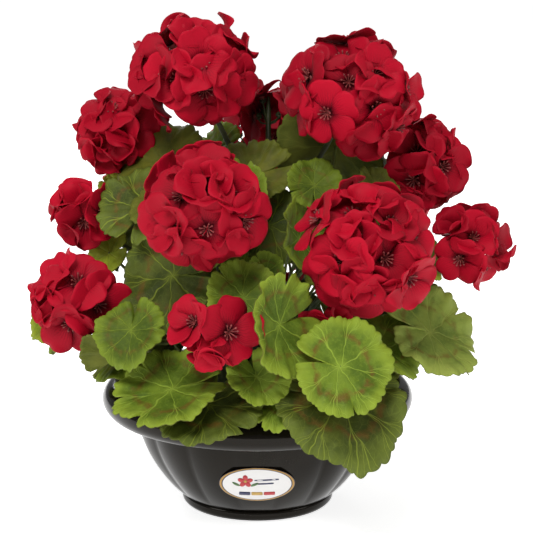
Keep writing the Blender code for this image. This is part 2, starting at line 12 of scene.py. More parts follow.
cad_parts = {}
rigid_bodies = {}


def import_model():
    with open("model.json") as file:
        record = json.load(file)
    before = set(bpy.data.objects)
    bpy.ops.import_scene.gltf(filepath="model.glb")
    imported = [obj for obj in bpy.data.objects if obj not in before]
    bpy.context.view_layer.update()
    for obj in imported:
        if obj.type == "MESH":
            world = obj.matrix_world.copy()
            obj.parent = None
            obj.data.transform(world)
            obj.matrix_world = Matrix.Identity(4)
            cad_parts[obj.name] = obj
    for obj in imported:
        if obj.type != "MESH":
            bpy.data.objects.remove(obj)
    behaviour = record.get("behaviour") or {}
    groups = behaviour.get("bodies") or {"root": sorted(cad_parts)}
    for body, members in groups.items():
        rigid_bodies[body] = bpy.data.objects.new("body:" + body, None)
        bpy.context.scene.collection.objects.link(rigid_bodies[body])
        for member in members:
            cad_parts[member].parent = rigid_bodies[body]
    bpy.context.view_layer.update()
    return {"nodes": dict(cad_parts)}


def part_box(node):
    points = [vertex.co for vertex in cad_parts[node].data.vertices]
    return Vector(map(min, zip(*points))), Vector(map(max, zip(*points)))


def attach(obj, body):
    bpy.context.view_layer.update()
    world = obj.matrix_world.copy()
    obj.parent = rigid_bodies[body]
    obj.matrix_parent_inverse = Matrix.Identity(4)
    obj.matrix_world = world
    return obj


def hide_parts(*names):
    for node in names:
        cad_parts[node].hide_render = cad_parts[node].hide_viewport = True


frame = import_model()

MILLIMETRE = 0.001

# Florets. A head's solid is a dome: HEAD_FLATNESS is its depth over its radius, and HEAD_SHELL is how much of
# that depth its wall takes. BLOOM_FILL is how far out the petals' ends reach. Spacings are in degrees.
PETAL_LENGTH = 0.0258
PETAL_WIDTH = 0.0265
PETAL_CLOTH = 0.00045
PETAL_GRID = 8
STAMENS = 9
VARIANTS = 4
FLORET_SPACING = 42
SPARSE_SPACING = 62
FILL_REACH = 100
SPARSE_REACH = 75
FILL_DENSITY = 45000
SPACING_RADIUS = 0.050
HEAD_FLATNESS = 0.88
HEAD_SHELL = 0.30
BLOOM_FILL = 0.91
PEDICEL_THICKNESS = 0.0007
PEDICEL_TOP = 0.0009

# Leaves
LEAF_CLOTH = 0.0007
LEAF_SAMPLES = 280
LEAF_RINGS = 15
VEIN_COUNT = 8
PETIOLE_THICKNESS = 0.0012
INNER_LEAVES = 50
INNER_TRIES = 3000
INNER_SAMPLES = 120
INNER_RINGS = 8
INNER_CLEARANCE = 0.002
INNER_CORNERS = 12
SOIL_TOP = 0.095

# Bowl, label and compost
FLUTES = 16
FLUTE_SEGMENTS = 14
FLUTE_DEPTH = 1.15
BOWL_CREASE = 40
LABEL_LIFT = 0.0012
LABEL_BACK = 0.0006
PRINT_LIFT = 0.00128
PRINT_BACK = 0.00105
COMPOST_RINGS = 26
COMPOST_SEGMENTS = 96
LUMP_KINDS = 4
LUMPS = {"Density": 42000.0, "Seed": 5, "Least": 0.0007, "Most": 0.0026}

# Stems: how far their skin stands out from the frame's, and its knobs and grain.
STEM_SKIN = 0.0003
STEM_KNOBS = 0.0005
STEM_GRAIN = 0.0002

# Studio. The lens is as long as the view needs at CAMERA_DISTANCE, for a 36 mm sensor.
CAMERA_TARGET = (0.0073, 0, 0.1925)
CAMERA_DISTANCE = 1.5
CAMERA_ELEVATION = 12.5
SENSOR = 36
LENS = 1882 / 533 * SENSOR
WORLD_LIGHT = 0.24
FLOOR_GLOW = 0.78

# The florets whose place on a head was chosen: the way each faces (azimuth, elevation), its turn and its
# shape. The rest of a head is filled evenly.
FLORETS = {
    "top_left": (
        (14, -12, 10, "open"), (44, -4, 40, "wavy"), (-22, 2, 0, "cupped"), (-45, 14, 20, "cupped"),
        (8, 22, 36, "wavy"), (0, 55, 0, "cupped"), (50, 30, 10, "wavy"), (88, 8, 30, "open"),
        (100, 40, 0, "wavy"), (-104, 50, 20, "cupped"), (-78, -35, 0, "wavy"), (72, -38, 0, "open"),
        (-80, 5, 20, "wavy"), (20, -45, 30, "closing"),
    ),
    "top_right": (
        (-26, -8, 18, "flat"), (-67, -6, 30, "open"), (-6, 26, 54, "open"), (-58, 24, 20, "open"),
        (24, -4, 30, "open"), (30, 34, 0, "wavy"), (74, 8, 10, "wavy"), (-24, 62, 30, "wavy"),
        (22, -40, 0, "wavy"), (60, -30, 20, "open"), (-100, 15, 0, "wavy"), (70, 50, 0, "open"),
    ),
    "upper_left": (
        (-10, 8, 20, "wavy"), (-12, -28, 10, "cupped"), (30, 20, 0, "wavy"), (-20, 52, 30, "open"),
        (-62, -5, 10, "cupped"), (-70, 38, 0, "wavy"), (-50, -40, 0, "wavy"),
    ),
    "upper_right": (
        (-14, -18, 0, "open"), (50, 44, 20, "cupped"), (-8, 32, 0, "wavy"), (35, 5, 30, "wavy"),
        (30, -42, 0, "closing"), (-40, -52, 10, "wavy"), (85, 12, 0, "open"),
    ),
    "centre_left": (
        (2, -9, -6, "flat"), (44, -4, 22, "open"), (-32, 26, 10, "open"), (0, 36, 36, "cupped"),
        (-44, -8, 20, "cupped"), (-30, -40, 0, "open"), (34, 30, 30, "cupped"), (-10, 70, 0, "wavy"),
        (30, -42, 15, "wavy"),
    ),
    "centre_right": (
        (-16, 24, 10, "cupped"), (-30, 0, 20, "open"), (-10, -20, 30, "cupped"), (8, -42, 36, "open"),
        (45, -19, 0, "wavy"), (-78, 34, 40, "open"), (-36, 58, 0, "wavy"), (18, 76, 0, "cupped"),
        (34, 44, 10, "cupped"), (56, 26, 20, "wavy"), (18, 4, 0, "wavy"), (-52, -30, 10, "wavy"),
    ),
    "far_right": (
        (-24, -16, 0, "open"), (10, 32, 20, "cupped"), (-50, 44, 0, "closing"), (70, 10, 10, "wavy"),
        (60, -35, 0, "wavy"),
    ),
    "middle_left": (
        (0, -14, 0, "wavy"), (-85, 22, 20, "closing"), (40, 8, 30, "wavy"), (-30, 50, 0, "closing"),
        (-70, -30, 0, "wavy"),
    ),
    "low_left": (
        (36, 6, 0, "open"), (0, 44, 20, "open"), (-14, -26, 10, "wavy"), (-48, 8, 10, "closing"),
        (-70, 45, 0, "wavy"), (-80, -12, 0, "cupped"),
    ),
    "low_middle": ((-44, 22, 20, "cupped"), (26, 6, 0, "open"), (-10, -34, 0, "bud")),
    "low_right": ((-11, -2, 0, "closing"), (50, 10, 0, "closing")),
}
# Heads with wider gaps between the florets that fill them.
SPARSE_HEADS = ("low_middle", "low_right", "middle_left", "low_left", "far_right")

# leaf: the finish of its upper side. A leaf that isn't here is "mid".
LEAF_FINISHES = {
    "front_right": "bright", "rim_left": "bright", "centre_upright": "bright", "flat_front": "bright",
    "right_under_head": "bright", "folded_front": "bright", "rim_far_right": "bright",
    "light_right": "pale", "light_mid_left": "light", "light_tip_left": "light", "far_left": "light",
    "rim_far_left": "light", "behind_low_head": "bright", "small_centre": "bright",
    "rim_right": "dark", "dark_left": "dark", "dark_upper_left": "dark", "rim_middle": "dark",
    "olive_upper_left": "olive", "olive_top_right": "olive", "olive_top": "olive", "twisted_left": "olive",
    "inner_green": "dark", "edge_on_right": "bright", "behind_far_right": "bright",
}


def nodes_named(start):
    """The frame's nodes whose names start so, in order."""
    return sorted(node for node in frame["nodes"] if node.startswith(start))


def srgb(red, green, blue):
    """A screen colour, 0 to 255, as the linear colour that a shader takes."""
    shares = [value / 255 for value in (red, green, blue)]
    return tuple(s / 12.92 if s <= 0.04045 else ((s + 0.055) / 1.055) ** 2.4 for s in shares) + (1.0,)


def toward(azimuth, elevation=0.0):
    """The unit vector that points this way. Azimuth 0 is the front (-Y), and 90 is +X."""
    turn, rise = math.radians(azimuth), math.radians(elevation)
    return Vector((math.sin(turn) * math.cos(rise), -math.cos(turn) * math.cos(rise), math.sin(rise)))


def smooth(start, end, value):
    """0 before start, 1 after end, and a soft S between."""
    share = np.clip((value - start) / (end - start), 0, 1)
    return share * share * (3 - 2 * share)


# Node trees


def put(tree, kind, inputs=None, **settings):
    """Adds a node. An input that is a socket is linked, and any other is set as a value."""
    node = tree.nodes.new(kind)
    for name, value in settings.items():
        setattr(node, name, value)
    for name, value in (inputs or {}).items():
        if isinstance(value, bpy.types.NodeSocket):
            tree.links.new(value, node.inputs[name])
        else:
            node.inputs[name].default_value = value
    return node


def maths(tree, operation, *values, clamp=False):
    settings = {"operation": operation, "use_clamp": clamp}
    return put(tree, "ShaderNodeMath", dict(enumerate(values)), **settings).outputs[0]


def step_between(tree, value, start, end, low=0.0, high=1.0):
    inputs = {"Value": value, "From Min": start, "From Max": end, "To Min": low, "To Max": high}
    return put(tree, "ShaderNodeMapRange", inputs, interpolation_type="SMOOTHSTEP").outputs["Result"]


def mixed(tree, share, first, second, how="MIX"):
    inputs = {0: share, 6: first, 7: second}
    return put(tree, "ShaderNodeMix", inputs, data_type="RGBA", blend_type=how).outputs[2]


def clouds(tree, where, scale, detail=3.0, roughness=0.55):
    inputs = {"Vector": where, "Scale": scale, "Detail": detail, "Roughness": roughness}
    return put(tree, "ShaderNodeTexNoise", inputs).outputs["Fac"]


def shader_group(name, inputs, outputs):
    """A shader node group: its tree, the sockets its inputs arrive at and those its outputs leave by."""
    tree = bpy.data.node_groups.new(name, "ShaderNodeTree")
    for label, value in inputs.items():
        kind = "NodeSocketColor" if isinstance(value, tuple) else "NodeSocketFloat"
        tree.interface.new_socket(label, in_out="INPUT", socket_type=kind).default_value = value
    for label in outputs:
        kind = "NodeSocketColor" if label == "Colour" else "NodeSocketFloat"
        tree.interface.new_socket(label, in_out="OUTPUT", socket_type=kind)
    return tree, tree.nodes.new("NodeGroupInput").outputs, tree.nodes.new("NodeGroupOutput").inputs


def finish_of(name, group, values, **principled):
    """A material: one group's colour, height and roughness feed a Principled shader."""
    material = bpy.data.materials.new(name)
    material.use_nodes = True
    tree = material.node_tree
    tree.nodes.clear()
    pattern = put(tree, "ShaderNodeGroup", node_tree=group)
    for label, value in values.items():
        pattern.inputs[label].default_value = value
    relief = principled.pop("relief", 0.3)
    depth = principled.pop("depth", 0.0006)
    shader = put(tree, "ShaderNodeBsdfPrincipled", {"Base Color": pattern.outputs["Colour"]})
    for label, value in principled.items():
        shader.inputs[label.replace("_", " ")].default_value = value
    tree.links.new(pattern.outputs["Roughness"], shader.inputs["Roughness"])
    raised = {"Height": pattern.outputs["Height"], "Strength": relief, "Distance": depth}
    bump = put(tree, "ShaderNodeBump", raised)
    tree.links.new(bump.outputs["Normal"], shader.inputs["Normal"])
    put(tree, "ShaderNodeOutputMaterial", {"Surface": shader.outputs["BSDF"]})
    return material


def petal_cloth_group():
    """Cloth petals: painted shade that deepens them towards the throat, a fan of dark creases and a soft
    mottle.
    """
    inputs = {"Petal": srgb(190, 20, 40), "Throat Shade": srgb(90, 0, 20), "Creases": 0.3, "Sheen": 0.75}
    tree, given, out = shader_group("petal_cloth", inputs, ("Colour", "Height", "Roughness"))
    flat = put(tree, "ShaderNodeUVMap", uv_map="petal").outputs["UV"]
    across_and_along = put(tree, "ShaderNodeSeparateXYZ", {0: flat}).outputs
    along, across = across_and_along[0], across_and_along[1]
    place = put(tree, "ShaderNodeTexCoord").outputs["Object"]
    tone = put(tree, "ShaderNodeAttribute", attribute_name="tone").outputs["Fac"]
    waver = clouds(tree, place, 160.0, 2.0)
    fan = maths(tree, "DIVIDE", across, maths(tree, "ADD", along, 0.22))
    fan = maths(tree, "ADD", maths(tree, "MULTIPLY", fan, 30.0), maths(tree, "MULTIPLY", waver, 9.0))
    crease = maths(tree, "POWER", maths(tree, "ABSOLUTE", maths(tree, "SINE", fan)), 6.0)
    fade = step_between(tree, along, 0.80, 0.10)
    crease = maths(tree, "MULTIPLY", maths(tree, "MULTIPLY", crease, fade), given["Creases"])
    mottle = clouds(tree, place, 70.0, 4.0)
    brightness = maths(tree, "MULTIPLY_ADD", mottle, 0.30, 0.85)
    brightness = maths(tree, "MULTIPLY", brightness, maths(tree, "MULTIPLY_ADD", tone, 0.35, 0.82))
    # Painted shade: each petal darkens towards its base, in the floret's throat.
    colour = mixed(tree, step_between(tree, along, 0.42, 0.02), given["Petal"], given["Throat Shade"])
    colour = mixed(tree, crease, colour, given["Throat Shade"])
    grey = put(tree, "ShaderNodeCombineColor", {0: brightness, 1: brightness, 2: brightness}).outputs[0]
    tree.links.new(mixed(tree, 1.0, colour, grey, "MULTIPLY"), out["Colour"])
    weave = clouds(tree, place, 1500.0, 2.0)
    height = maths(tree, "ADD", maths(tree, "MULTIPLY", crease, -0.7), maths(tree, "MULTIPLY", weave, 0.20))
    tree.links.new(maths(tree, "ADD", height, maths(tree, "MULTIPLY", mottle, 0.6)), out["Height"])
    tree.links.new(maths(tree, "MULTIPLY_ADD", mottle, 0.15, given["Sheen"]), out["Roughness"])
    return tree


def blade_group():
    """Leaf blades: veins that fan out and fork, a broken dark zone and a lighter margin."""
    inputs = {
        "Blade": srgb(85, 99, 31), "Margin": srgb(148, 163, 54), "Vein": srgb(150, 165, 60),
        "Zone": srgb(102, 66, 25), "Zone Strength": 0.6, "Vein Strength": 0.6, "Margin Strength": 0.8,
        "Dullness": 0.5,
    }
    tree, given, out = shader_group("leaf_blade", inputs, ("Colour", "Height", "Roughness"))
    flat = put(tree, "ShaderNodeUVMap", uv_map="blade").outputs["UV"]
    edge = put(tree, "ShaderNodeUVMap", uv_map="margin").outputs["UV"]
    edge = put(tree, "ShaderNodeSeparateXYZ", {0: edge}).outputs[0]
    place = put(tree, "ShaderNodeTexCoord").outputs["Object"]
    bend = put(tree, "ShaderNodeTexNoise", {"Vector": flat, "Scale": 2.6, "Detail": 2.0}).outputs["Color"]
    bend = put(tree, "ShaderNodeVectorMath", {0: bend, 1: (0.5, 0.5, 0.5)}, operation="SUBTRACT").outputs[0]
    bend = put(tree, "ShaderNodeVectorMath", {0: bend, "Scale": 0.24}, operation="SCALE").outputs[0]
    flat = put(tree, "ShaderNodeVectorMath", {0: flat, 1: bend}, operation="ADD").outputs[0]
    parts = put(tree, "ShaderNodeSeparateXYZ", {0: flat}).outputs
    square = maths(tree, "MULTIPLY", parts[0], parts[0])
    reach = maths(tree, "SQRT", maths(tree, "MULTIPLY_ADD", parts[1], parts[1], square))
    spacing = 2 * math.pi / VEIN_COUNT
    turns = maths(tree, "DIVIDE", maths(tree, "ARCTAN2", parts[1], parts[0]), spacing)
    beside = maths(tree, "ABSOLUTE", maths(tree, "SUBTRACT", turns, maths(tree, "ROUND", turns)))
    arc = maths(tree, "MULTIPLY", reach, spacing)
    fork = step_between(tree, reach, 0.30, 1.0, 0.0, 0.27)
    twig = step_between(tree, reach, 0.55, 1.05, 0.0, 0.13)
    beside_fork = maths(tree, "ABSOLUTE", maths(tree, "SUBTRACT", beside, fork))
    beside_twig = maths(tree, "ABSOLUTE", maths(tree, "SUBTRACT", beside_fork, twig))
    lines = []
    veins = ((beside, 0.016, 1.0), (beside_fork, 0.011, 0.85), (beside_twig, 0.009, 0.6))
    for distance, width, strength in veins:
        line = step_between(tree, maths(tree, "MULTIPLY", distance, arc), width, 0.0)
        lines.append(maths(tree, "MULTIPLY", line, strength))
    vein = maths(tree, "MAXIMUM", maths(tree, "MAXIMUM", lines[0], lines[1]), lines[2])
    cells = {"Vector": flat, "Scale": 9.0}
    net = put(tree, "ShaderNodeTexVoronoi", cells, feature="DISTANCE_TO_EDGE").outputs[0]
    net = step_between(tree, net, 0.05, 0.0)
    vein = maths(tree, "MAXIMUM", vein, maths(tree, "MULTIPLY", net, 0.16))
    blotch = clouds(tree, place, 45.0, 4.0)
    spots = clouds(tree, place, 140.0, 3.0)
    wander = maths(tree, "MULTIPLY_ADD", maths(tree, "SUBTRACT", blotch, 0.5), 0.45, reach)
    away = maths(tree, "ABSOLUTE", maths(tree, "SUBTRACT", wander, 0.55))
    zone = maths(tree, "SUBTRACT", 1.0, maths(tree, "MULTIPLY", away, 12.0), clamp=True)
    zone = maths(tree, "MULTIPLY", zone, step_between(tree, spots, 0.34, 0.56))
    zone = maths(tree, "MULTIPLY", zone, given["Zone Strength"])
    deeper, paler = (0.62, 0.68, 0.52, 1.0), (1.32, 1.26, 1.15, 1.0)
    shade = mixed(tree, step_between(tree, blotch, 0.35, 0.68), deeper, paler)
    colour = mixed(tree, 1.0, given["Blade"], shade, "MULTIPLY")
    freckles = step_between(tree, clouds(tree, place, 420.0, 3.0), 0.50, 0.72)
    colour = mixed(tree, maths(tree, "MULTIPLY", freckles, 0.22), colour, given["Margin"])
    lighter = maths(tree, "MULTIPLY_ADD", maths(tree, "SUBTRACT", blotch, 0.5), 0.35, edge)
    margin = maths(tree, "MULTIPLY", step_between(tree, lighter, 0.62, 1.02), given["Margin Strength"])
    colour = mixed(tree, margin, colour, given["Margin"])
    colour = mixed(tree, zone, colour, given["Zone"])
    heart = maths(tree, "MULTIPLY", step_between(tree, reach, 0.16, 0.02), 0.6)
    line = maths(tree, "MULTIPLY", maths(tree, "MAXIMUM", vein, heart), given["Vein Strength"])
    tree.links.new(mixed(tree, line, colour, given["Vein"]), out["Colour"])
    grain = clouds(tree, place, 700.0, 2.0)
    height = maths(tree, "ADD", maths(tree, "MULTIPLY", vein, -0.55), maths(tree, "MULTIPLY", spots, 0.7))
    tree.links.new(maths(tree, "ADD", height, maths(tree, "MULTIPLY", grain, 0.15)), out["Height"])
    tree.links.new(maths(tree, "MULTIPLY_ADD", spots, 0.2, given["Dullness"]), out["Roughness"])
    return tree


def mottled_group():
    """A plain moulded or grown surface: two colours in soft blotches, with fine grain."""
    inputs = {
        "Main": (0.1, 0.1, 0.1, 1.0), "Other": (0.05, 0.05, 0.05, 1.0), "Blotch Size": 30.0,
        "Grain Size": 400.0, "Dullness": 0.4, "Dullness Spread": 0.1,
    }
    tree, given, out = shader_group("mottled_surface", inputs, ("Colour", "Height", "Roughness"))
    place = put(tree, "ShaderNodeTexCoord").outputs["Object"]
    blotch = clouds(tree, place, given["Blotch Size"], 4.0)
    grain = clouds(tree, place, given["Grain Size"], 3.0)
    share = step_between(tree, maths(tree, "ADD", blotch, maths(tree, "MULTIPLY", grain, 0.3)), 0.45, 0.85)
    tree.links.new(mixed(tree, share, given["Main"], given["Other"]), out["Colour"])
    tree.links.new(grain, out["Height"])
    uneven = maths(tree, "SUBTRACT", blotch, 0.5)
    rough = maths(tree, "MULTIPLY_ADD", uneven, given["Dullness Spread"], given["Dullness"])
    tree.links.new(rough, out["Roughness"])
    return tree


def label_group():
    """The printed oval: a pale ground inside a gold line and a dark line."""
    inputs = {
        "Ground": srgb(222, 220, 218), "Gold": srgb(170, 130, 60), "Navy": srgb(22, 26, 52), "Dullness": 0.3,
    }
    tree, given, out = shader_group("printed_label", inputs, ("Colour", "Height", "Roughness"))
    flat = put(tree, "ShaderNodeUVMap", uv_map="oval").outputs["UV"]
    reach = put(tree, "ShaderNodeVectorMath", {0: flat}, operation="LENGTH").outputs["Value"]
    place = put(tree, "ShaderNodeTexCoord").outputs["Object"]
    paper = clouds(tree, place, 300.0, 3.0)
    ground = mixed(tree, maths(tree, "MULTIPLY", paper, 0.12), given["Ground"], (0.45, 0.45, 0.5, 1.0))
    colour = mixed(tree, step_between(tree, reach, 0.895, 0.905), ground, given["Navy"])
    colour = mixed(tree, step_between(tree, reach, 0.925, 0.935), colour, given["Gold"])
    colour = mixed(tree, step_between(tree, reach, 0.980, 0.985), colour, given["Navy"])
    tree.links.new(colour, out["Colour"])
    tree.links.new(paper, out["Height"])
    tree.links.new(maths(tree, "MULTIPLY_ADD", paper, 0.08, given["Dullness"]), out["Roughness"])
    return tree


PETAL_CLOTH_LOOK = petal_cloth_group()
BLADE_LOOK = blade_group()
MOTTLED_LOOK = mottled_group()
LABEL_LOOK = label_group()

# A leaf's blade, margin and vein colours, and how strong its dark zone and its veins are.
GREENS = {
    # inner: painted shade, far darker greens for the small leaves deep inside the crown.
    "inner": (srgb(46, 56, 16), srgb(66, 80, 22), srgb(74, 88, 24), 0.3, 0.5),
    "bright": (srgb(91, 112, 31), srgb(134, 152, 45), srgb(140, 162, 56), 0.72, 0.8),
    "light": (srgb(120, 132, 32), srgb(139, 150, 40), srgb(139, 148, 46), 0.15, 0.35),
    "pale": (srgb(108, 124, 52), srgb(142, 154, 68), srgb(146, 156, 70), 0.6, 0.65),
    "mid": (srgb(76, 92, 23), srgb(112, 130, 34), srgb(122, 138, 42), 0.45, 0.65),
    "dark": (srgb(66, 75, 24), srgb(94, 106, 38), srgb(122, 134, 44), 0.6, 0.9),
    "olive": (srgb(83, 85, 25), srgb(97, 102, 32), srgb(102, 108, 35), 0.15, 0.35),
}


def leaf_finish(name):
    blade, margin, vein, zone, veins = GREENS[name]
    values = {"Blade": blade, "Margin": margin, "Vein": vein, "Zone Strength": zone, "Vein Strength": veins}
    gloss = {"Specular_IOR_Level": 0.16}
    return finish_of("leaf_" + name, BLADE_LOOK, values, relief=0.6, depth=0.0007, **gloss)


leaf_greens = {name: leaf_finish(name) for name in GREENS}
underside_values = {
    "Blade": srgb(83, 88, 30), "Margin": srgb(97, 104, 36), "Vein": srgb(108, 115, 43),
    "Zone Strength": 0.0, "Vein Strength": 0.5, "Dullness": 0.7, "Margin Strength": 0.4,
}
leaf_underside = finish_of(
    "leaf_underside", BLADE_LOOK, underside_values, relief=0.5, Specular_IOR_Level=0.2
)
# Throat Shade is painted shade, the deep red that the petals darken to at the floret's throat; the creases
# take it too.
petal_values = {"Petal": srgb(161, 5, 32), "Throat Shade": srgb(56, 0, 10), "Creases": 0.6, "Sheen": 0.50}
petal_red = finish_of(
    "petal_red", PETAL_CLOTH_LOOK, petal_values, relief=0.4, depth=0.0005,
    Specular_IOR_Level=0.10, Sheen_Weight=0.04, Sheen_Roughness=0.45, Sheen_Tint=(1.0, 0.45, 0.42, 1.0),
)
stamen_values = {"Main": srgb(158, 66, 62), "Other": srgb(96, 34, 34), "Blotch Size": 500.0, "Dullness": 0.6}
stamen_pink = finish_of("stamen_pink", MOTTLED_LOOK, stamen_values, relief=0.2)
stem_values = {
    "Main": srgb(44, 54, 28), "Other": srgb(66, 70, 34), "Blotch Size": 60.0, "Grain Size": 700.0,
    "Dullness": 0.5,
}
stem_green = finish_of("stem_green", MOTTLED_LOOK, stem_values, relief=0.5, Specular_IOR_Level=0.4)
stalk_values = dict(stem_values, Main=srgb(40, 52, 26), Other=srgb(60, 72, 34))
stalk_green = finish_of("stalk_green", MOTTLED_LOOK, stalk_values, relief=0.3, Specular_IOR_Level=0.4)
petiole_values = dict(stem_values, Main=srgb(72, 86, 34), Other=srgb(92, 100, 44))
petiole_green = finish_of("petiole_green", MOTTLED_LOOK, petiole_values, relief=0.3, Specular_IOR_Level=0.35)
compost_values = {
    "Main": srgb(38, 28, 20), "Other": srgb(66, 50, 36), "Blotch Size": 160.0, "Grain Size": 900.0,
    "Dullness": 0.95, "Dullness Spread": 0.05,
}
compost_brown = finish_of("compost_brown", MOTTLED_LOOK, compost_values, relief=0.9, depth=0.0015)
bowl_values = {
    "Main": srgb(14, 12, 9), "Other": srgb(20, 17, 13), "Blotch Size": 14.0, "Grain Size": 1200.0,
    "Dullness": 0.13, "Dullness Spread": 0.10,
}
bowl_black = finish_of(
    "bowl_black", MOTTLED_LOOK, bowl_values, relief=0.04, depth=0.0002,
    Specular_IOR_Level=0.18, Specular_Tint=(1.0, 0.93, 0.84, 1.0),
)
label_print = finish_of("label_print", LABEL_LOOK, {"Dullness": 0.28}, relief=0.05, depth=0.0002)


def ink(name, colour):
    """One colour of the label's raised print."""
    values = {"Main": colour, "Other": colour, "Blotch Size": 200.0, "Dullness": 0.35}
    return finish_of("ink_" + name, MOTTLED_LOOK, values, relief=0.05, depth=0.0001)


# Shells


def signed_volume(verts, faces):
    """The volume inside a shell, negative when its faces point inwards."""
    total = 0.0
    for face in faces:
        fan = np.cross(verts[face[:, 1]] - verts[face[:, 0]], verts[face[:, 2]] - verts[face[:, 0]])
        if face.shape[1] == 4:
            fan += np.cross(verts[face[:, 2]] - verts[face[:, 0]], verts[face[:, 3]] - verts[face[:, 0]])
        total += (verts[face].mean(axis=1) * fan).sum() / 6
    return total


class Pile:
    """Closed shells gathered into one mesh. Each vertex has its place on each flat map."""

    def __init__(self, maps=()):
        self.verts, self.faces, self.finishes, self.count = [], [], [], 0
        self.maps = {name: [] for name in maps}

    def add(self, verts, faces, finishes, **places):
        """faces is a list of arrays of triangles or of quads, and finishes gives a number for each array."""
        if signed_volume(verts, faces) < 0:
            faces = [face[:, ::-1] for face in faces]
        for face, finish in zip(faces, finishes):
            self.faces += (face + self.count).tolist()
            self.finishes += [finish] * len(face)
        self.verts.append(verts)
        self.count += len(verts)
        for name, rows in self.maps.items():
            rows.append(places.get(name, np.zeros((len(verts), 2))))

    def mesh(self, name, materials):
        mesh = bpy.data.meshes.new(name)
        mesh.from_pydata(np.concatenate(self.verts).tolist(), [], self.faces)
        corners = np.empty(len(mesh.loops), np.int32)
        mesh.loops.foreach_get("vertex_index", corners)
        for label, rows in self.maps.items():
            layer = mesh.uv_layers.new(name=label)
            layer.data.foreach_set("uv", np.concatenate(rows)[corners].astype(np.float32).ravel())
        for material in materials:
            mesh.materials.append(material)
        mesh.polygons.foreach_set("material_index", self.finishes)
        mesh.shade_smooth()
        return mesh


def sheet_shell(points, thickness):
    """A closed shell round a grid of points: its vertices, and its upper, lower and rim faces."""
    rows, columns = points.shape[:2]
    along = np.gradient(points, axis=0)
    across = np.gradient(points, axis=1)
    normal = np.cross(along, across)
    normal /= np.linalg.norm(normal, axis=2, keepdims=True) + 1e-12
    half = normal * thickness / 2
    verts = np.concatenate([(points + half).reshape(-1, 3), (points - half).reshape(-1, 3)])
    index = np.arange(rows * columns).reshape(rows, columns)
    upper = np.stack([index[:-1, :-1], index[1:, :-1], index[1:, 1:], index[:-1, 1:]], axis=-1).reshape(-1, 4)
    lower = upper[:, ::-1] + rows * columns
    loop = np.concatenate([index[0, :-1], index[:-1, -1], index[-1, :0:-1], index[:0:-1, 0]])
    after = np.roll(loop, -1)
    rim = np.stack([loop, after, after + rows * columns, loop + rows * columns], axis=-1)
    return verts, upper, lower, rim


def tube_shell(path, radii, sides):
    """A closed tube along a path, with a point at each end."""
    path = np.asarray(path, float)
    direction = np.gradient(path, axis=0)
    direction /= np.linalg.norm(direction, axis=1, keepdims=True) + 1e-12
    side = np.cross(direction[0], [0.3, 0.5, 0.81])
    rings = []
    for point, way, radius in zip(path, direction, radii):
        side = side - way * (side @ way)
        side /= np.linalg.norm(side)
        other = np.cross(way, side)
        turn = np.arange(sides) * 2 * math.pi / sides
        rings.append(point + radius * (np.outer(np.cos(turn), side) + np.outer(np.sin(turn), other)))
    ends = [path[:1] - direction[:1] * radii[0] * 0.5, path[-1:] + direction[-1:] * radii[-1] * 0.5]
    verts = np.concatenate(rings + ends)
    index = np.arange(len(path) * sides).reshape(len(path), sides)
    after = np.roll(index, -1, axis=1)
    walls = np.stack([index[:-1], after[:-1], after[1:], index[1:]], axis=-1).reshape(-1, 4)
    first, last = len(verts) - 2, len(verts) - 1
    caps = [(first, after[0, i], index[0, i]) for i in range(sides)]
    caps += [(last, index[-1, i], after[-1, i]) for i in range(sides)]
    return verts, walls, np.array(caps)


def round_sheet(rings, segments):
    """Rings of points round a middle point that comes first: their indices, and the fan and bands between."""
    index = 1 + np.arange(rings * segments).reshape(rings, segments)
    after = np.roll(index, -1, axis=1)
    fan = np.stack([np.zeros(segments, int), index[0], after[0]], axis=-1)
    bands = np.stack([index[:-1], index[1:], after[1:], after[:-1]], axis=-1).reshape(-1, 4)
    return index, after, fan, bands


def two_sides(fan, bands, index, after, count):
    """The faces of a thin shell whose lower side repeats its upper side's points, count places on."""
    rim = np.stack([index[-1], index[-1] + count, after[-1] + count, after[-1]], axis=-1)
    return [fan, bands, (fan + count)[:, ::-1], (bands + count)[:, ::-1], rim]


def new_object(name, mesh):
    made = bpy.data.objects.new(name, mesh)
    bpy.context.scene.collection.objects.link(made)
    return made


def finished(made, slot, *nodes):
    """Hands a piece over: it rides on the one body, and stands for these nodes."""
    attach(made, "root")
    if nodes:
        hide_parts(*nodes)


# What the frame says


def merged_copy(node):
    """A copy of a node's mesh with the corners of its loose triangles joined."""
    shell = bmesh.new()
    shell.from_mesh(frame["nodes"][node].data)
    bmesh.ops.remove_doubles(shell, verts=shell.verts, dist=0.00002)
    shell.verts.ensure_lookup_table()
    return shell


def neighbours(verts, leaving_out):
    """The vertices one edge away from these, apart from those left out."""
    found = []
    for vert in verts:
        for edge in vert.link_edges:
            other = edge.other_vert(vert)
            if other not in leaving_out and other not in found:
                found.append(other)
    return found


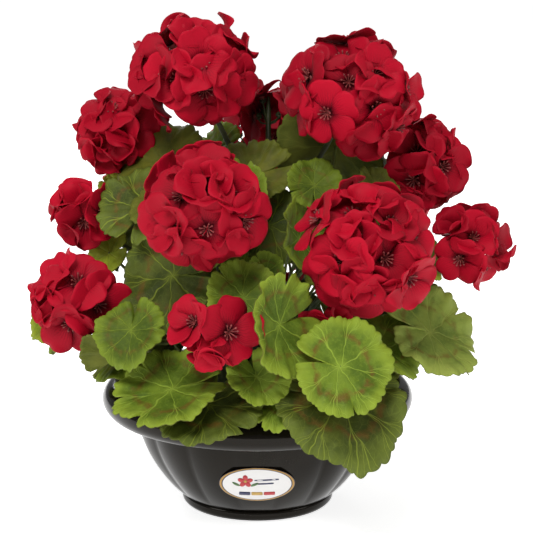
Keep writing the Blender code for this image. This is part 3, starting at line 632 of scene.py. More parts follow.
def read_leaf(node):
    """Where a leaf is: its middle, its directions, its radius, how it bends and its petiole's path."""
    shell = merged_copy(node)
    middle = max(shell.verts, key=lambda vert: len(vert.link_edges))
    inner = neighbours([middle], {middle})
    outer = neighbours(inner, {middle, *inner})
    top = {middle, *inner, *outer}
    below = {}
    for vert in outer:
        partners = neighbours([vert], top)
        below[vert] = min(partners, key=lambda other: (other.co - vert.co).length)
    normal = sum(((vert.co - under.co) for vert, under in below.items()), Vector()).normalized()
    thickness = sum((vert.co - under.co).length for vert, under in below.items()) / len(below)

    def lateral(vert):
        offset = vert.co - middle.co
        return offset - normal * offset.dot(normal)

    notch = min(outer, key=lambda vert: lateral(vert).length)
    tip = -lateral(notch).normalized()
    side = normal.cross(tip)
    radius = max(lateral(vert).length for vert in outer)
    rows, lifts = [], []
    for vert in inner + outer:
        offset = (vert.co - middle.co) / radius
        rows.append(bend_terms(np.array(offset.dot(tip)), np.array(offset.dot(side))))
        lifts.append(offset.dot(normal))
    bends = np.linalg.lstsq(np.array(rows), np.array(lifts), rcond=None)[0]
    used = top | set(below.values())
    under_inner = neighbours(list(below.values()), used)
    used |= set(under_inner)
    path = []
    layer = neighbours(under_inner, used)
    while layer:
        path.append(sum((vert.co for vert in layer), Vector()) / len(layer))
        used |= set(layer)
        layer = neighbours(layer, used)
    centre = middle.co - normal * thickness / 2
    shell.free()
    return np.array(centre), np.array([tip, side, normal]), radius, bends, path


def bend_terms(along, across):
    """The shapes that a blade's bend is made of, at points given in radii."""
    square = along**2 + across**2
    turn = np.arctan2(across, along)
    fold = np.sqrt(across**2 + 0.01) - 0.1
    droop = np.maximum(along, 0) ** 2
    return np.stack([square, fold, droop, square * np.cos(3 * turn), square * np.sin(3 * turn)], axis=-1)


def read_head(node):
    """A flower head's centre, the way it faces and its radius."""
    shell = merged_copy(node)
    poles = sorted(shell.verts, key=lambda vert: -len(vert.link_edges))[:2]
    middle = sum((vert.co for vert in shell.verts), Vector()) / len(shell.verts)
    inner, outer = sorted((vert.co.copy() for vert in poles), key=lambda co: (co - middle).length)
    shell.free()
    facing = (outer - inner).normalized()
    radius = (outer - inner).length / HEAD_SHELL / HEAD_FLATNESS
    return outer - facing * radius * HEAD_FLATNESS, facing, radius


# Leaves


def blade_outline(turn, rng):
    """The blade's reach each way: lobes with clefts between, a scalloped edge, slits and the notch."""
    lobes = VEIN_COUNT - 1
    shift = rng.uniform(-0.2, 0.2)
    reach = 0.975 + 0.020 * np.cos(3 * turn + rng.uniform(0, 6))
    reach = reach + 0.014 * np.cos(5 * turn + rng.uniform(0, 6))
    lobe = ((turn + shift) / (2 * math.pi) * lobes) % 1
    cleft = np.minimum(lobe, 1 - lobe) * 2 * math.pi / lobes
    reach -= rng.uniform(0.05, 0.09) * np.exp(-cleft / 0.06)
    scallops = lobes * rng.integers(4, 6)
    reach += 0.045 * (np.abs(np.cos(scallops / 2 * (turn + shift) + 0.35 * np.sin(3 * turn))) ** 0.8 - 0.7)
    for _ in range(rng.integers(1, 4)):
        where = round(rng.uniform(-2.3, 2.3) / (2 * math.pi) * lobes) * 2 * math.pi / lobes - shift
        depth = rng.uniform(0.10, 0.26)
        apart = np.abs(turn - where) / rng.uniform(0.04, 0.07)
        reach -= depth * np.clip(1 - apart, 0, 1) ** 0.8
    reach *= 1 - 0.06 * (1 - np.cos(turn))
    from_notch = math.pi - np.abs(turn)
    return reach * (0.16 + 0.84 * smooth(0.0, 0.20, from_notch) ** 0.6)


def build_blade(name, seed, place, finish, samples=LEAF_SAMPLES, rings=LEAF_RINGS):
    """One blade as a thin closed shell, from its middle, its directions, its radius and how it bends."""
    rng = np.random.default_rng(seed)
    centre, axes, radius, bends = place
    turn = (np.arange(samples) + 0.5) / samples * 2 * math.pi - math.pi
    outline = blade_outline(turn, rng)
    shares = (np.arange(1, rings + 1) / rings) ** 0.85
    reach = shares[:, None] * outline[None, :]
    around = np.broadcast_to(turn, reach.shape)
    along, across = reach * np.cos(around), reach * np.sin(around)
    lift = bend_terms(along, across) @ bends
    share = np.broadcast_to(shares[:, None], reach.shape)
    spacing = 2 * math.pi / VEIN_COUNT
    beside = np.abs((around / spacing + 0.5) % 1 - 0.5)
    lift = lift - 0.030 * reach * np.exp(-((beside / 0.13) ** 2))
    waves = 0.044 * np.sin(7 * around + rng.uniform(0, 6))
    waves = waves + 0.024 * np.sin(12 * around + rng.uniform(0, 6))
    waves += 0.014 * np.sin(21 * around + rng.uniform(0, 6))
    lift = lift + waves * share**3 * rng.uniform(0.7, 1.3)
    puckers = np.sin(17 * along + rng.uniform(0, 6)) * np.sin(15 * across + rng.uniform(0, 6))
    lift = lift + 0.012 * puckers * smooth(0, 0.4, reach) - 0.035 * smooth(0.88, 1.0, share)
    points = np.stack([along, across, lift], axis=-1) * radius
    step_in = np.gradient(np.concatenate([np.zeros((1, samples, 3)), points]), axis=0)[1:]
    step_round = np.roll(points, -1, axis=1) - np.roll(points, 1, axis=1)
    normal = np.cross(step_in, step_round)
    normal /= np.linalg.norm(normal, axis=2, keepdims=True) + 1e-12
    sides = []
    for lift in (LEAF_CLOTH / 2, -LEAF_CLOTH / 2):
        sides += [[[0, 0, lift]], (points + normal * lift).reshape(-1, 3)]
    verts = centre + np.concatenate(sides) @ axes
    index, after, fan, bands = round_sheet(rings, samples)
    faces = two_sides(fan, bands, index, after, 1 + rings * samples)
    blade_map = np.concatenate([[[0, 0]], np.stack([along, across], axis=-1).reshape(-1, 2)])
    margin_map = np.concatenate([[[0, 0]], np.stack([share, share], axis=-1).reshape(-1, 2)])
    maps = {"blade": np.tile(blade_map, (2, 1)), "margin": np.tile(margin_map, (2, 1))}
    pile = Pile(maps)
    pile.add(verts, faces, (0, 0, 1, 1, 1), **maps)
    return new_object(name, pile.mesh(name, (leaf_greens[finish], leaf_underside)))


def build_leaves():
    """The frame's leaves, then small shaded ones that fill the middle of the plants, then all petioles."""
    petioles = []
    for number, node in enumerate(nodes_named("leaf_")):
        *place, path = read_leaf(node)
        finish = LEAF_FINISHES.get(node.removeprefix("leaf_"), "mid")
        finished(build_blade(node + "_blade", 300 + number, place, finish), "leaves", node)
        path = rounded_path(path, 3)
        petioles.append((path, [PETIOLE_THICKNESS] * len(path)))
    for number, (place, path) in enumerate(inner_places()):
        name = "inner_leaf_%02d" % number
        # Half of the small inner leaves take the "inner" greens, which are painted shade.
        finish = ("inner", "mid", "inner", "olive")[number % 4]
        blade = build_blade(name, 500 + number, place, finish, INNER_SAMPLES, INNER_RINGS)
        finished(blade, "leaves")
        petioles.append((path, [PETIOLE_THICKNESS] * len(path)))
    mesh = curved_stalks("petioles", petioles, 8, petiole_green)
    finished(new_object("petioles", mesh), "leaves")


def frame_tree():
    """All of the frame's surfaces, to test a new shape against."""
    verts, faces = [], []
    for node in nodes_named(""):
        mesh = frame["nodes"][node].data
        first = len(verts)
        verts += [vert.co.copy() for vert in mesh.vertices]
        faces += [[first + corner for corner in face.vertices] for face in mesh.polygons]
    return BVHTree.FromPolygons(verts, faces)


def blade_tree(centre, axes, radius, bends):
    """A plain disc on each side of a blade's place, for the same test."""
    tip, side, normal = axes
    disc = []
    for lift in (INNER_CLEARANCE, -INNER_CLEARANCE):
        for corner in range(INNER_CORNERS):
            turn = 2 * math.pi * corner / INNER_CORNERS
            along, across = math.cos(turn), math.sin(turn)
            bend = float(bend_terms(np.array(along), np.array(across)) @ bends)
            spot = (tip * along + side * across + normal * bend) * radius
            disc.append(centre + spot + normal * lift)
    disc += [centre + normal * INNER_CLEARANCE, centre - normal * INNER_CLEARANCE]
    fans = []
    for layer in range(2):
        ring = [layer * INNER_CORNERS + corner for corner in range(INNER_CORNERS)]
        middle = 2 * INNER_CORNERS + layer
        fans += [(middle, corner, after) for corner, after in zip(ring, ring[1:] + ring[:1])]
    return BVHTree.FromPolygons(disc, fans)


def inner_places():
    """Free places for small leaves inside the crown, each clear of the frame and of the others."""
    rng = np.random.default_rng(11)
    trunks = [middle_of(node) for node in nodes_named("stems_")]
    taken = [frame_tree()]
    found = []
    for _ in range(INNER_TRIES):
        azimuth, reach = rng.uniform(-180, 180), rng.uniform(0.03, 0.115)
        centre = toward(azimuth) * reach + Vector((0, 0, rng.uniform(0.105, 0.270)))
        normal = toward(azimuth + rng.uniform(-35, 35), rng.uniform(10, 60))
        down = Vector((0, 0, -1)) + toward(rng.uniform(0, 360)) * 0.5
        tip = (down - normal * down.dot(normal)).normalized()
        side = normal.cross(tip)
        radius = rng.uniform(0.020, 0.036)
        bends = [rng.uniform(-0.1, 0.2), rng.uniform(0.05, 0.25), rng.uniform(-0.25, -0.05), 0.03, 0.03]
        bends = np.array(bends)
        tree = blade_tree(centre, (tip, side, normal), radius, bends)
        if any(tree.overlap(other) for other in taken):
            continue
        taken.append(tree)
        trunk = min(trunks, key=lambda spot: (spot - centre).xy.length)
        foot = Vector((trunk.x, trunk.y, max(SOIL_TOP, centre.z - 0.05)))
        below = (centre - normal * 0.001, centre - normal * 0.012)
        path = rounded_path([*below, (centre + foot) / 2, foot], 3)
        axes = np.array([tip, side, normal])
        found.append(((np.array(centre), axes, radius, bends), path))
        if len(found) == INNER_LEAVES:
            break
    return found


def middle_of(node):
    """The middle of a node's lower part, where it stands in the compost."""
    verts = [vert.co for vert in frame["nodes"][node].data.vertices]
    lowest = min(co.z for co in verts)
    low = [co for co in verts if co.z < lowest + 0.04]
    return sum(low, Vector()) / len(low)


# Flower heads


def petal_points(lift, reflex, cup, ripple, tip, twist, rng):
    """One petal's grid in metres. It runs along X from its base at the origin, and its top faces +Z."""
    grid = np.linspace(-1, 1, PETAL_GRID + 1)
    p, q = np.meshgrid(grid, grid, indexing="ij")
    x = p * np.sqrt(1 - q * q / 2)
    y = q * np.sqrt(1 - p * p / 2)
    from_middle = np.sqrt(x * x + y * y)
    around = np.arctan2(y, x)
    along = ((1 + x) / 2) ** 0.82
    across = y / 2 * (0.44 + 0.56 * smooth(0.0, 0.55, along))
    along = along - rng.uniform(0.0, 0.09) * np.exp(-((across / 0.13) ** 2)) * smooth(0.75, 1.0, along)
    height = -reflex * along**2.4 + cup * (2 * across) ** 2 * smooth(0.05, 0.6, along)
    height += ripple * np.sin(3 * around + rng.uniform(0, 6)) * from_middle**3
    height += ripple * 0.5 * np.sin(5 * around + rng.uniform(0, 6)) * from_middle**4
    height += tip * smooth(0.6, 1.0, along) ** 2
    height += 0.008 * np.sin(22 * across / (along + 0.3) + rng.uniform(0, 6)) * smooth(0.1, 0.4, along)
    length = PETAL_LENGTH * rng.uniform(0.92, 1.06)
    width = PETAL_WIDTH * rng.uniform(0.92, 1.08)
    points = np.stack([along * length, across * width, height * length], axis=-1)
    roll = math.radians(twist)
    turned = points.copy()
    turned[..., 1] = points[..., 1] * math.cos(roll) - points[..., 2] * math.sin(roll)
    turned[..., 2] = points[..., 1] * math.sin(roll) + points[..., 2] * math.cos(roll)
    rise = math.radians(lift)
    points = turned.copy()
    points[..., 0] = turned[..., 0] * math.cos(rise) - turned[..., 2] * math.sin(rise) + 0.0008
    points[..., 2] = turned[..., 0] * math.sin(rise) + turned[..., 2] * math.cos(rise)
    return points, np.stack([along, across], axis=-1)


# A floret's shape: its petals' lift, reflex, cup, ripple, tip curl and twist, and how much each may vary.
FLORET_SHAPES = {
    "flat": ((15, 0.20, -0.10, 0.020, 0.02, 7), 0.35),
    "open": ((23, 0.26, -0.06, 0.040, 0.03, 8), 0.5),
    "wavy": ((32, 0.34, 0.04, 0.080, 0.07, 10), 0.8),
    "cupped": ((45, 0.26, 0.18, 0.040, -0.02, 9), 0.5),
    "closing": ((68, 0.14, 0.32, 0.040, -0.16, 14), 0.4),
    "bud": ((80, 0.04, 0.55, 0.030, -0.22, 20), 0.3),
}
# How far below a head's surface each shape's throat sits, so that its petals end at that surface.
THROAT_DEPTHS = {
    "flat": 0.004, "open": 0.011, "wavy": 0.013, "cupped": 0.016, "closing": 0.024, "bud": 0.026,
}


def build_floret(shape, seed):
    """Five petals, a star of stamens and a green calyx, facing +Z from the origin."""
    rng = np.random.default_rng(seed)
    (lift, reflex, cup, ripple, tip, twist), spread = FLORET_SHAPES[shape]
    pile = Pile(("petal",))

    def varied(value, by=0.5):
        return value * (1 + spread * by * rng.uniform(-1, 1))

    for petal in range(5):
        own_lift = lift + spread * rng.uniform(-16, 16)
        points, flat = petal_points(
            own_lift, varied(reflex), cup + spread * rng.uniform(-0.12, 0.12), varied(ripple),
            varied(tip, 2.0), twist * rng.uniform(0.6, 1.4), rng,
        )
        verts, upper, lower, rim = sheet_shell(points, PETAL_CLOTH)
        turn = math.radians(72 * petal + spread * rng.uniform(-9, 9))
        cos, sin = math.cos(turn), math.sin(turn)
        verts = verts @ np.array([[cos, sin, 0], [-sin, cos, 0], [0, 0, 1]])
        flat = np.tile(flat.reshape(-1, 2), (2, 1))
        pile.add(verts, [upper, lower, rim], (0, 0, 0), petal=flat)
    if shape not in ("bud", "closing"):
        for stamen in range(STAMENS):
            turn = 2 * math.pi * (stamen + rng.uniform(-0.2, 0.2)) / STAMENS
            splay = rng.uniform(0.75, 1.25)
            reach = rng.uniform(0.0062, 0.0076)
            way = np.array([math.cos(turn) * splay, math.sin(turn) * splay, 1.0])
            way /= np.linalg.norm(way)
            path = [way * reach * s + np.array([0, 0, 0.001]) for s in (0.0, 0.5, 0.9, 1.0, 1.14)]
            verts, walls, caps = tube_shell(path, (0.0004, 0.0005, 0.0006, 0.0009, 0.0004), 4)
            pile.add(verts, [walls, caps], (1, 1))
    base = [np.array([0, 0, z]) for z in (-0.0045, -0.0022, -0.0004, 0.0012)]
    verts, walls, caps = tube_shell(base, (0.0008, 0.0018, 0.0028, 0.0010), 10)
    pile.add(verts, [walls, caps], (1, 1))
    for sepal in range(5):
        turn = math.radians(72 * sepal + 36)
        out = np.array([math.cos(turn), math.sin(turn), 0])
        foot, rise = out * 0.0006 + np.array([0, 0, -0.0065]), out * 0.0022 + np.array([0, 0, 0.0036])
        path = [foot + rise * s for s in (0, 0.4, 0.8, 1.15)]
        verts, walls, caps = tube_shell(path, (0.0010, 0.0014, 0.0011, 0.0003), 5)
        pile.add(verts, [walls, caps], (2, 2))
    mesh = pile.mesh("floret_%s_%d" % (shape, seed), (petal_red, stamen_pink, stalk_green))
    organ = mesh.attributes.new("organ", "INT", "FACE")
    organ.data.foreach_set("value", pile.finishes)
    return mesh


def geometry_tree(name, inputs):
    """A tree with a geometry in and out: the tree, its input sockets and its output socket."""
    tree = bpy.data.node_groups.new(name, "GeometryNodeTree")
    tree.interface.new_socket("Geometry", in_out="INPUT", socket_type="NodeSocketGeometry")
    for label, kind in inputs.items():
        tree.interface.new_socket(label, in_out="INPUT", socket_type="NodeSocket" + kind)
    tree.interface.new_socket("Geometry", in_out="OUTPUT", socket_type="NodeSocketGeometry")
    return tree, tree.nodes.new("NodeGroupInput").outputs, tree.nodes.new("NodeGroupOutput").inputs[0]


def attribute(tree, name, kind):
    """The socket that reads a named attribute in a Geometry Nodes tree."""
    node = put(tree, "GeometryNodeInputNamedAttribute", {"Name": name}, data_type=kind)
    return next(socket for socket in node.outputs if socket.enabled and socket.name == "Attribute")


def plain_mesh(tree, carrier, values):
    """Runs a tree on a carrier object and returns the plain mesh that it makes."""
    modifier = carrier.modifiers.new("shape", "NODES")
    modifier.node_group = tree
    sockets = {item.name: item.identifier for item in tree.interface.items_tree if item.in_out == "INPUT"}
    for name, value in values.items():
        modifier[sockets[name]] = value
    graph = bpy.context.evaluated_depsgraph_get()
    mesh = bpy.data.meshes.new_from_object(
        carrier.evaluated_get(graph), preserve_all_data_layers=True, depsgraph=graph
    )
    carrier.modifiers.remove(modifier)
    bpy.data.objects.remove(carrier)
    return mesh


def each_child(tree, shelf):
    """The objects of a collection as instances to pick from."""
    inputs = {"Collection": shelf, "Separate Children": True, "Reset Children": True}
    return put(tree, "GeometryNodeCollectionInfo", inputs).outputs[0]


def emptied(shelf):
    """Removes a collection and the objects in it."""
    for made in list(shelf.objects):
        bpy.data.objects.remove(made)
    bpy.data.collections.remove(shelf)


def umbel_tree():
    """Sets a floret on each point, of the kind, turn and size that the point says."""
    organs = ("Petals", "Stamens", "Calyx")
    inputs = {"Florets": "Collection", "Scale": "Float", **dict.fromkeys(organs, "Material")}
    tree, given, out = geometry_tree("umbel_of_florets", inputs)
    turn = put(tree, "FunctionNodeEulerToRotation", {0: attribute(tree, "turn", "FLOAT_VECTOR")}).outputs[0]
    size = maths(tree, "MULTIPLY", attribute(tree, "size", "FLOAT"), given["Scale"])
    placed = put(tree, "GeometryNodeInstanceOnPoints", {
        "Points": given["Geometry"], "Instance": each_child(tree, given["Florets"]), "Pick Instance": True,
        "Instance Index": attribute(tree, "kind", "INT"), "Rotation": turn, "Scale": size,
    })
    made = put(tree, "GeometryNodeRealizeInstances", {"Geometry": placed.outputs[0]}).outputs[0]
    for number, label in enumerate(organs):
        numbers = {2: attribute(tree, "organ", "INT"), 3: number}
        same = put(tree, "FunctionNodeCompare", numbers, data_type="INT", operation="EQUAL")
        inputs = {"Geometry": made, "Selection": same.outputs[0], "Material": given[label]}
        made = put(tree, "GeometryNodeSetMaterial", inputs).outputs[0]
    tree.links.new(made, out)
    return tree


def stalks_tree():
    """Round stalks along curves, as thick as each curve's own radius."""
    inputs = {"Sides": "Int", "Thickness": "Float", "Skin": "Material"}
    tree, given, out = geometry_tree("round_stalks", inputs)
    sizes = {"Resolution": given["Sides"], "Radius": given["Thickness"]}
    ring = put(tree, "GeometryNodeCurvePrimitiveCircle", sizes)
    thickness = put(tree, "GeometryNodeInputRadius").outputs[0]
    joined = {
        "Curve": given["Geometry"], "Profile Curve": ring.outputs[0], "Scale": thickness, "Fill Caps": True,
    }
    walls = put(tree, "GeometryNodeCurveToMesh", joined)
    merged = put(tree, "GeometryNodeMergeByDistance", {"Geometry": walls.outputs[0], "Distance": 0.000001})
    smooth_walls = put(tree, "GeometryNodeSetShadeSmooth", {"Geometry": merged.outputs[0]})
    made = put(tree, "GeometryNodeRealizeInstances", {"Geometry": smooth_walls.outputs[0]})
    made = put(tree, "GeometryNodeSetMaterial", {"Geometry": made.outputs[0], "Material": given["Skin"]})
    tree.links.new(made.outputs[0], out)
    return tree


UMBEL = umbel_tree()
STALKS = stalks_tree()


def curved_stalks(name, paths, sides, material):
    """One mesh of stalks. Each path is a list of points with a radius each."""
    curve = bpy.data.curves.new(name, "CURVE")
    curve.dimensions = "3D"
    for points, radii in paths:
        spline = curve.splines.new("POLY")
        spline.points.add(len(points) - 1)
        for spot, point, radius in zip(spline.points, points, radii):
            spot.co = (*point, 1.0)
            spot.radius = radius
    carrier = new_object(name + "_paths", curve)
    return plain_mesh(STALKS, carrier, {"Sides": sides, "Thickness": 1.0, "Skin": material})


def rounded_path(points, steps):
    """Points along a smooth curve through these."""
    points = [Vector(point) for point in points]
    ends = [points[0] * 2 - points[1]] + points + [points[-1] * 2 - points[-2]]
    made = []
    for index in range(1, len(ends) - 2):
        a, b, c, d = ends[index - 1 : index + 3]
        for step in range(steps):
            t = step / steps
            curve = 2 * b + (c - a) * t + (2 * a - 5 * b + 4 * c - d) * t**2 + (3 * b - a - 3 * c + d) * t**3
            made.append(0.5 * curve)
    return made + [points[-1]]


def floret_places(name, facing, radius, rng):
    """The florets of a head: the way each faces, its roll and its shape."""
    places = [(toward(az, el), roll, shape) for az, el, roll, shape in FLORETS.get(name, ())]
    sparse = name in SPARSE_HEADS
    spacing = (SPARSE_SPACING if sparse else FLORET_SPACING) * (SPACING_RADIUS / radius) ** 0.5
    reach = SPARSE_REACH if sparse else FILL_REACH
    count = round(FILL_DENSITY / spacing**2)
    golden = math.pi * (3 - math.sqrt(5))
    phase = rng.uniform(0, 6)
    for index in range(count):
        rise = 1 - 2 * (index + 0.5) / count
        flat = math.sqrt(1 - rise * rise)
        way = Vector((flat * math.cos(golden * index + phase), flat * math.sin(golden * index + phase), rise))
        if math.degrees(way.angle(facing)) > reach:
            continue
        if name == "low_middle" or any(math.degrees(way.angle(other)) < spacing for other, _, _ in places):
            continue
        shape = ("open", "wavy", "cupped", "wavy")[index % 4]
        places.append((way, rng.uniform(0, 72), shape))
    return places


def build_heads():
    """Every flower head: its florets on its dome, and the pedicels that hold them."""
    names = list(FLORET_SHAPES)
    shelf = bpy.data.collections.new("florets")
    for number, shape in enumerate(names):
        for variant in range(VARIANTS):
            mesh = build_floret(shape, 100 * number + variant)
            shelf.objects.link(bpy.data.objects.new("floret_%02d" % (number * VARIANTS + variant), mesh))
    pedicels = []
    for number, node in enumerate(nodes_named("flower_head_")):
        rng = np.random.default_rng(number + 7)
        centre, facing, radius = read_head(node)
        name = node.removeprefix("flower_head_")
        spots, turns, kinds, sizes, tones = [], [], [], [], []
        size = min(1.0, 0.62 + radius / 0.110)
        for way, roll, shape in floret_places(name, facing, radius, rng):
            lateral = way - facing * way.dot(facing)
            stretch = lateral + facing * way.dot(facing) * HEAD_FLATNESS
            reach = radius * BLOOM_FILL - THROAT_DEPTHS[shape] * size + rng.uniform(-0.005, 0.003)
            spot = centre + stretch * max(reach, 0.006)
            spots.append(spot)
            turned = way.to_track_quat("Z", "Y") @ Quaternion((0, 0, 1), math.radians(roll))
            turns.append(turned.to_euler())
            kinds.append(names.index(shape) * VARIANTS + int(rng.integers(VARIANTS)))
            sizes.append(size * rng.uniform(0.92, 1.08))
            tones.append(rng.uniform(0, 1))
            hub = centre - facing * radius * 0.25
            bow = (spot + hub) / 2 - facing * 0.002
            end = spot - way * 0.003
            path = rounded_path([hub, bow, end], 3)
            pedicels.append((path, [PEDICEL_THICKNESS] * (len(path) - 1) + [PEDICEL_TOP]))
        points = bpy.data.meshes.new(node + "_points")
        points.from_pydata(spots, [], [])
        rows_of = {
            "turn": ("FLOAT_VECTOR", turns), "kind": ("INT", kinds),
            "size": ("FLOAT", sizes), "tone": ("FLOAT", tones),
        }
        for label, (kind, rows) in rows_of.items():
            layer = points.attributes.new(label, kind, "POINT")
            layer.data.foreach_set("vector" if label == "turn" else "value", np.array(rows).ravel())
        carrier = new_object(node + "_carrier", points)
        mesh = plain_mesh(UMBEL, carrier, {
            "Florets": shelf, "Scale": 1.0, "Petals": petal_red, "Stamens": stamen_pink, "Calyx": stalk_green,
        })
        finished(new_object("florets_" + name, mesh), "petals", node)
    emptied(shelf)
    mesh = curved_stalks("pedicels", pedicels, 5, stalk_green)
    finished(new_object("pedicels", mesh), "stems")


# Stems


def build_stems(node, seed):
    """One plant's trunk and stalks, rounded off from the frame's own stems."""
    shell = merged_copy(node)
    mesh = bpy.data.meshes.new(node + "_rough")
    shell.to_mesh(mesh)
    shell.free()
    carrier = new_object(node + "_rough", mesh)
    rounding = carrier.modifiers.new("rounding", "SUBSURF")
    rounding.levels = rounding.render_levels = 2
    graph = bpy.context.evaluated_depsgraph_get()
    mesh = bpy.data.meshes.new_from_object(carrier.evaluated_get(graph), depsgraph=graph)
    bpy.data.objects.remove(carrier)
    moves = []
    for vert in mesh.vertices:
        knobs = noise.noise(vert.co * 90 + Vector((seed, 0, 0))) * STEM_KNOBS
        knobs += noise.noise(vert.co * 300) * STEM_GRAIN
        moves.append(vert.co + vert.normal * (knobs + STEM_SKIN))
    mesh.vertices.foreach_set("co", np.array(moves).ravel())
    mesh.shade_smooth()
    mesh.materials.clear()
    mesh.materials.append(stem_green)
    finished(new_object(node + "_skin", mesh), "stems", node)


# Bowl, label and compost


def read_column(node, azimuth):
    """The corners of a turned node at one azimuth, in order along its profile from its lowest end."""
    shell = merged_copy(node)
    column = [vert for vert in shell.verts if abs(math.atan2(vert.co.x, -vert.co.y) - azimuth) < 0.02]
    ends = [vert for vert in column if sum(edge.other_vert(vert) in column for edge in vert.link_edges) == 1]
    layer = [min(ends, key=lambda vert: vert.co.z)]
    used, points = set(layer), []
    while layer:
        points.append((math.hypot(layer[0].co.x, layer[0].co.y), layer[0].co.z))
        layer = [vert for vert in neighbours(layer, used) if vert in column]
        used |= set(layer)
    shell.free()
    return points


def smooth_profile(points, steps, corner=42):
    """More points along a profile, rounded everywhere but at its corners."""
    points = [Vector(point) for point in points]

    def is_corner(index):
        if index in (0, len(points) - 1):
            return True
        before, after = points[index] - points[index - 1], points[index + 1] - points[index]
        return math.degrees(before.angle(after)) > corner

    made = []
    for index in range(len(points) - 1):
        b, c = points[index], points[index + 1]
        a = b * 2 - c if is_corner(index) else points[index - 1]
        d = c * 2 - b if is_corner(index + 1) else points[index + 2]
        start = (c - a) / 2 if (b - a).length < 3 * (c - b).length else (c - b)
        end = (d - b) / 2 if (d - c).length < 3 * (c - b).length else (c - b)
        for step in range(steps):
            t = step / steps
            made.append(
                b * (2 * t**3 - 3 * t**2 + 1) + start * (t**3 - 2 * t**2 + t)
                + c * (3 * t**2 - 2 * t**3) + end * (t**3 - t**2)
            )
    return made + [points[-1]]


def build_bowl():
    """The bowl, turned again from the frame's own rings with finer flutes. Returns its outside profile."""
    segment = 2 * math.pi / (3 * FLUTES)
    first = math.pi / FLUTES
    profile = [(0.0, 0.0, 0.0)]
    for (low, height), (high, _) in zip(read_column("bowl", first), read_column("bowl", first + segment)):
        depth = (high - low) / math.sin(math.pi / 3)
        profile.append((low + depth, height, depth))
    profile.append((0.0, profile[-1][1], 0.0))
    fine = smooth_profile(profile, 4)
    segments = FLUTE_SEGMENTS * FLUTES
    turn = np.arange(segments) / segments * 2 * math.pi
    ridge = np.abs(np.sin(FLUTES / 2 * (turn - first))) ** 0.8
    rows = [point for point in fine if point[0] > 0.0008]
    verts = [np.array([[0, 0, fine[0][1]]])]
    for radius, height, depth in rows:
        reach = radius - max(depth, 0) * FLUTE_DEPTH * (1 - ridge)
        level = np.full(segments, height)
        verts.append(np.stack([reach * np.sin(turn), -reach * np.cos(turn), level], axis=-1))
    verts.append(np.array([[0, 0, fine[-1][1]]]))
    verts = np.concatenate(verts)
    index = 1 + np.arange(len(rows) * segments).reshape(len(rows), segments)
    after = np.roll(index, -1, axis=1)
    last = len(verts) - 1
    fans = np.concatenate([
        np.stack([np.zeros(segments, int), after[0], index[0]], axis=-1),
        np.stack([np.full(segments, last), index[-1], after[-1]], axis=-1),
    ])
    walls = np.stack([index[:-1], after[:-1], after[1:], index[1:]], axis=-1).reshape(-1, 4)
    pile = Pile()
    pile.add(verts, [fans, walls], (0, 0))
    mesh = pile.mesh("bowl_body", (bowl_black,))
    mesh.set_sharp_from_angle(angle=math.radians(BOWL_CREASE))
    finished(new_object("bowl_body", mesh), "bowl", "bowl")
    return [(point[1], point[0]) for point in fine[: len(fine) // 2]]


def surface_radius(outside, height):
    """The radius of the bowl's outside at a height."""
    heights = np.array([row[0] for row in outside])
    reach = np.array([row[1] for row in outside])
    order = np.argsort(heights, kind="stable")
    return float(np.interp(height, heights[order], reach[order]))


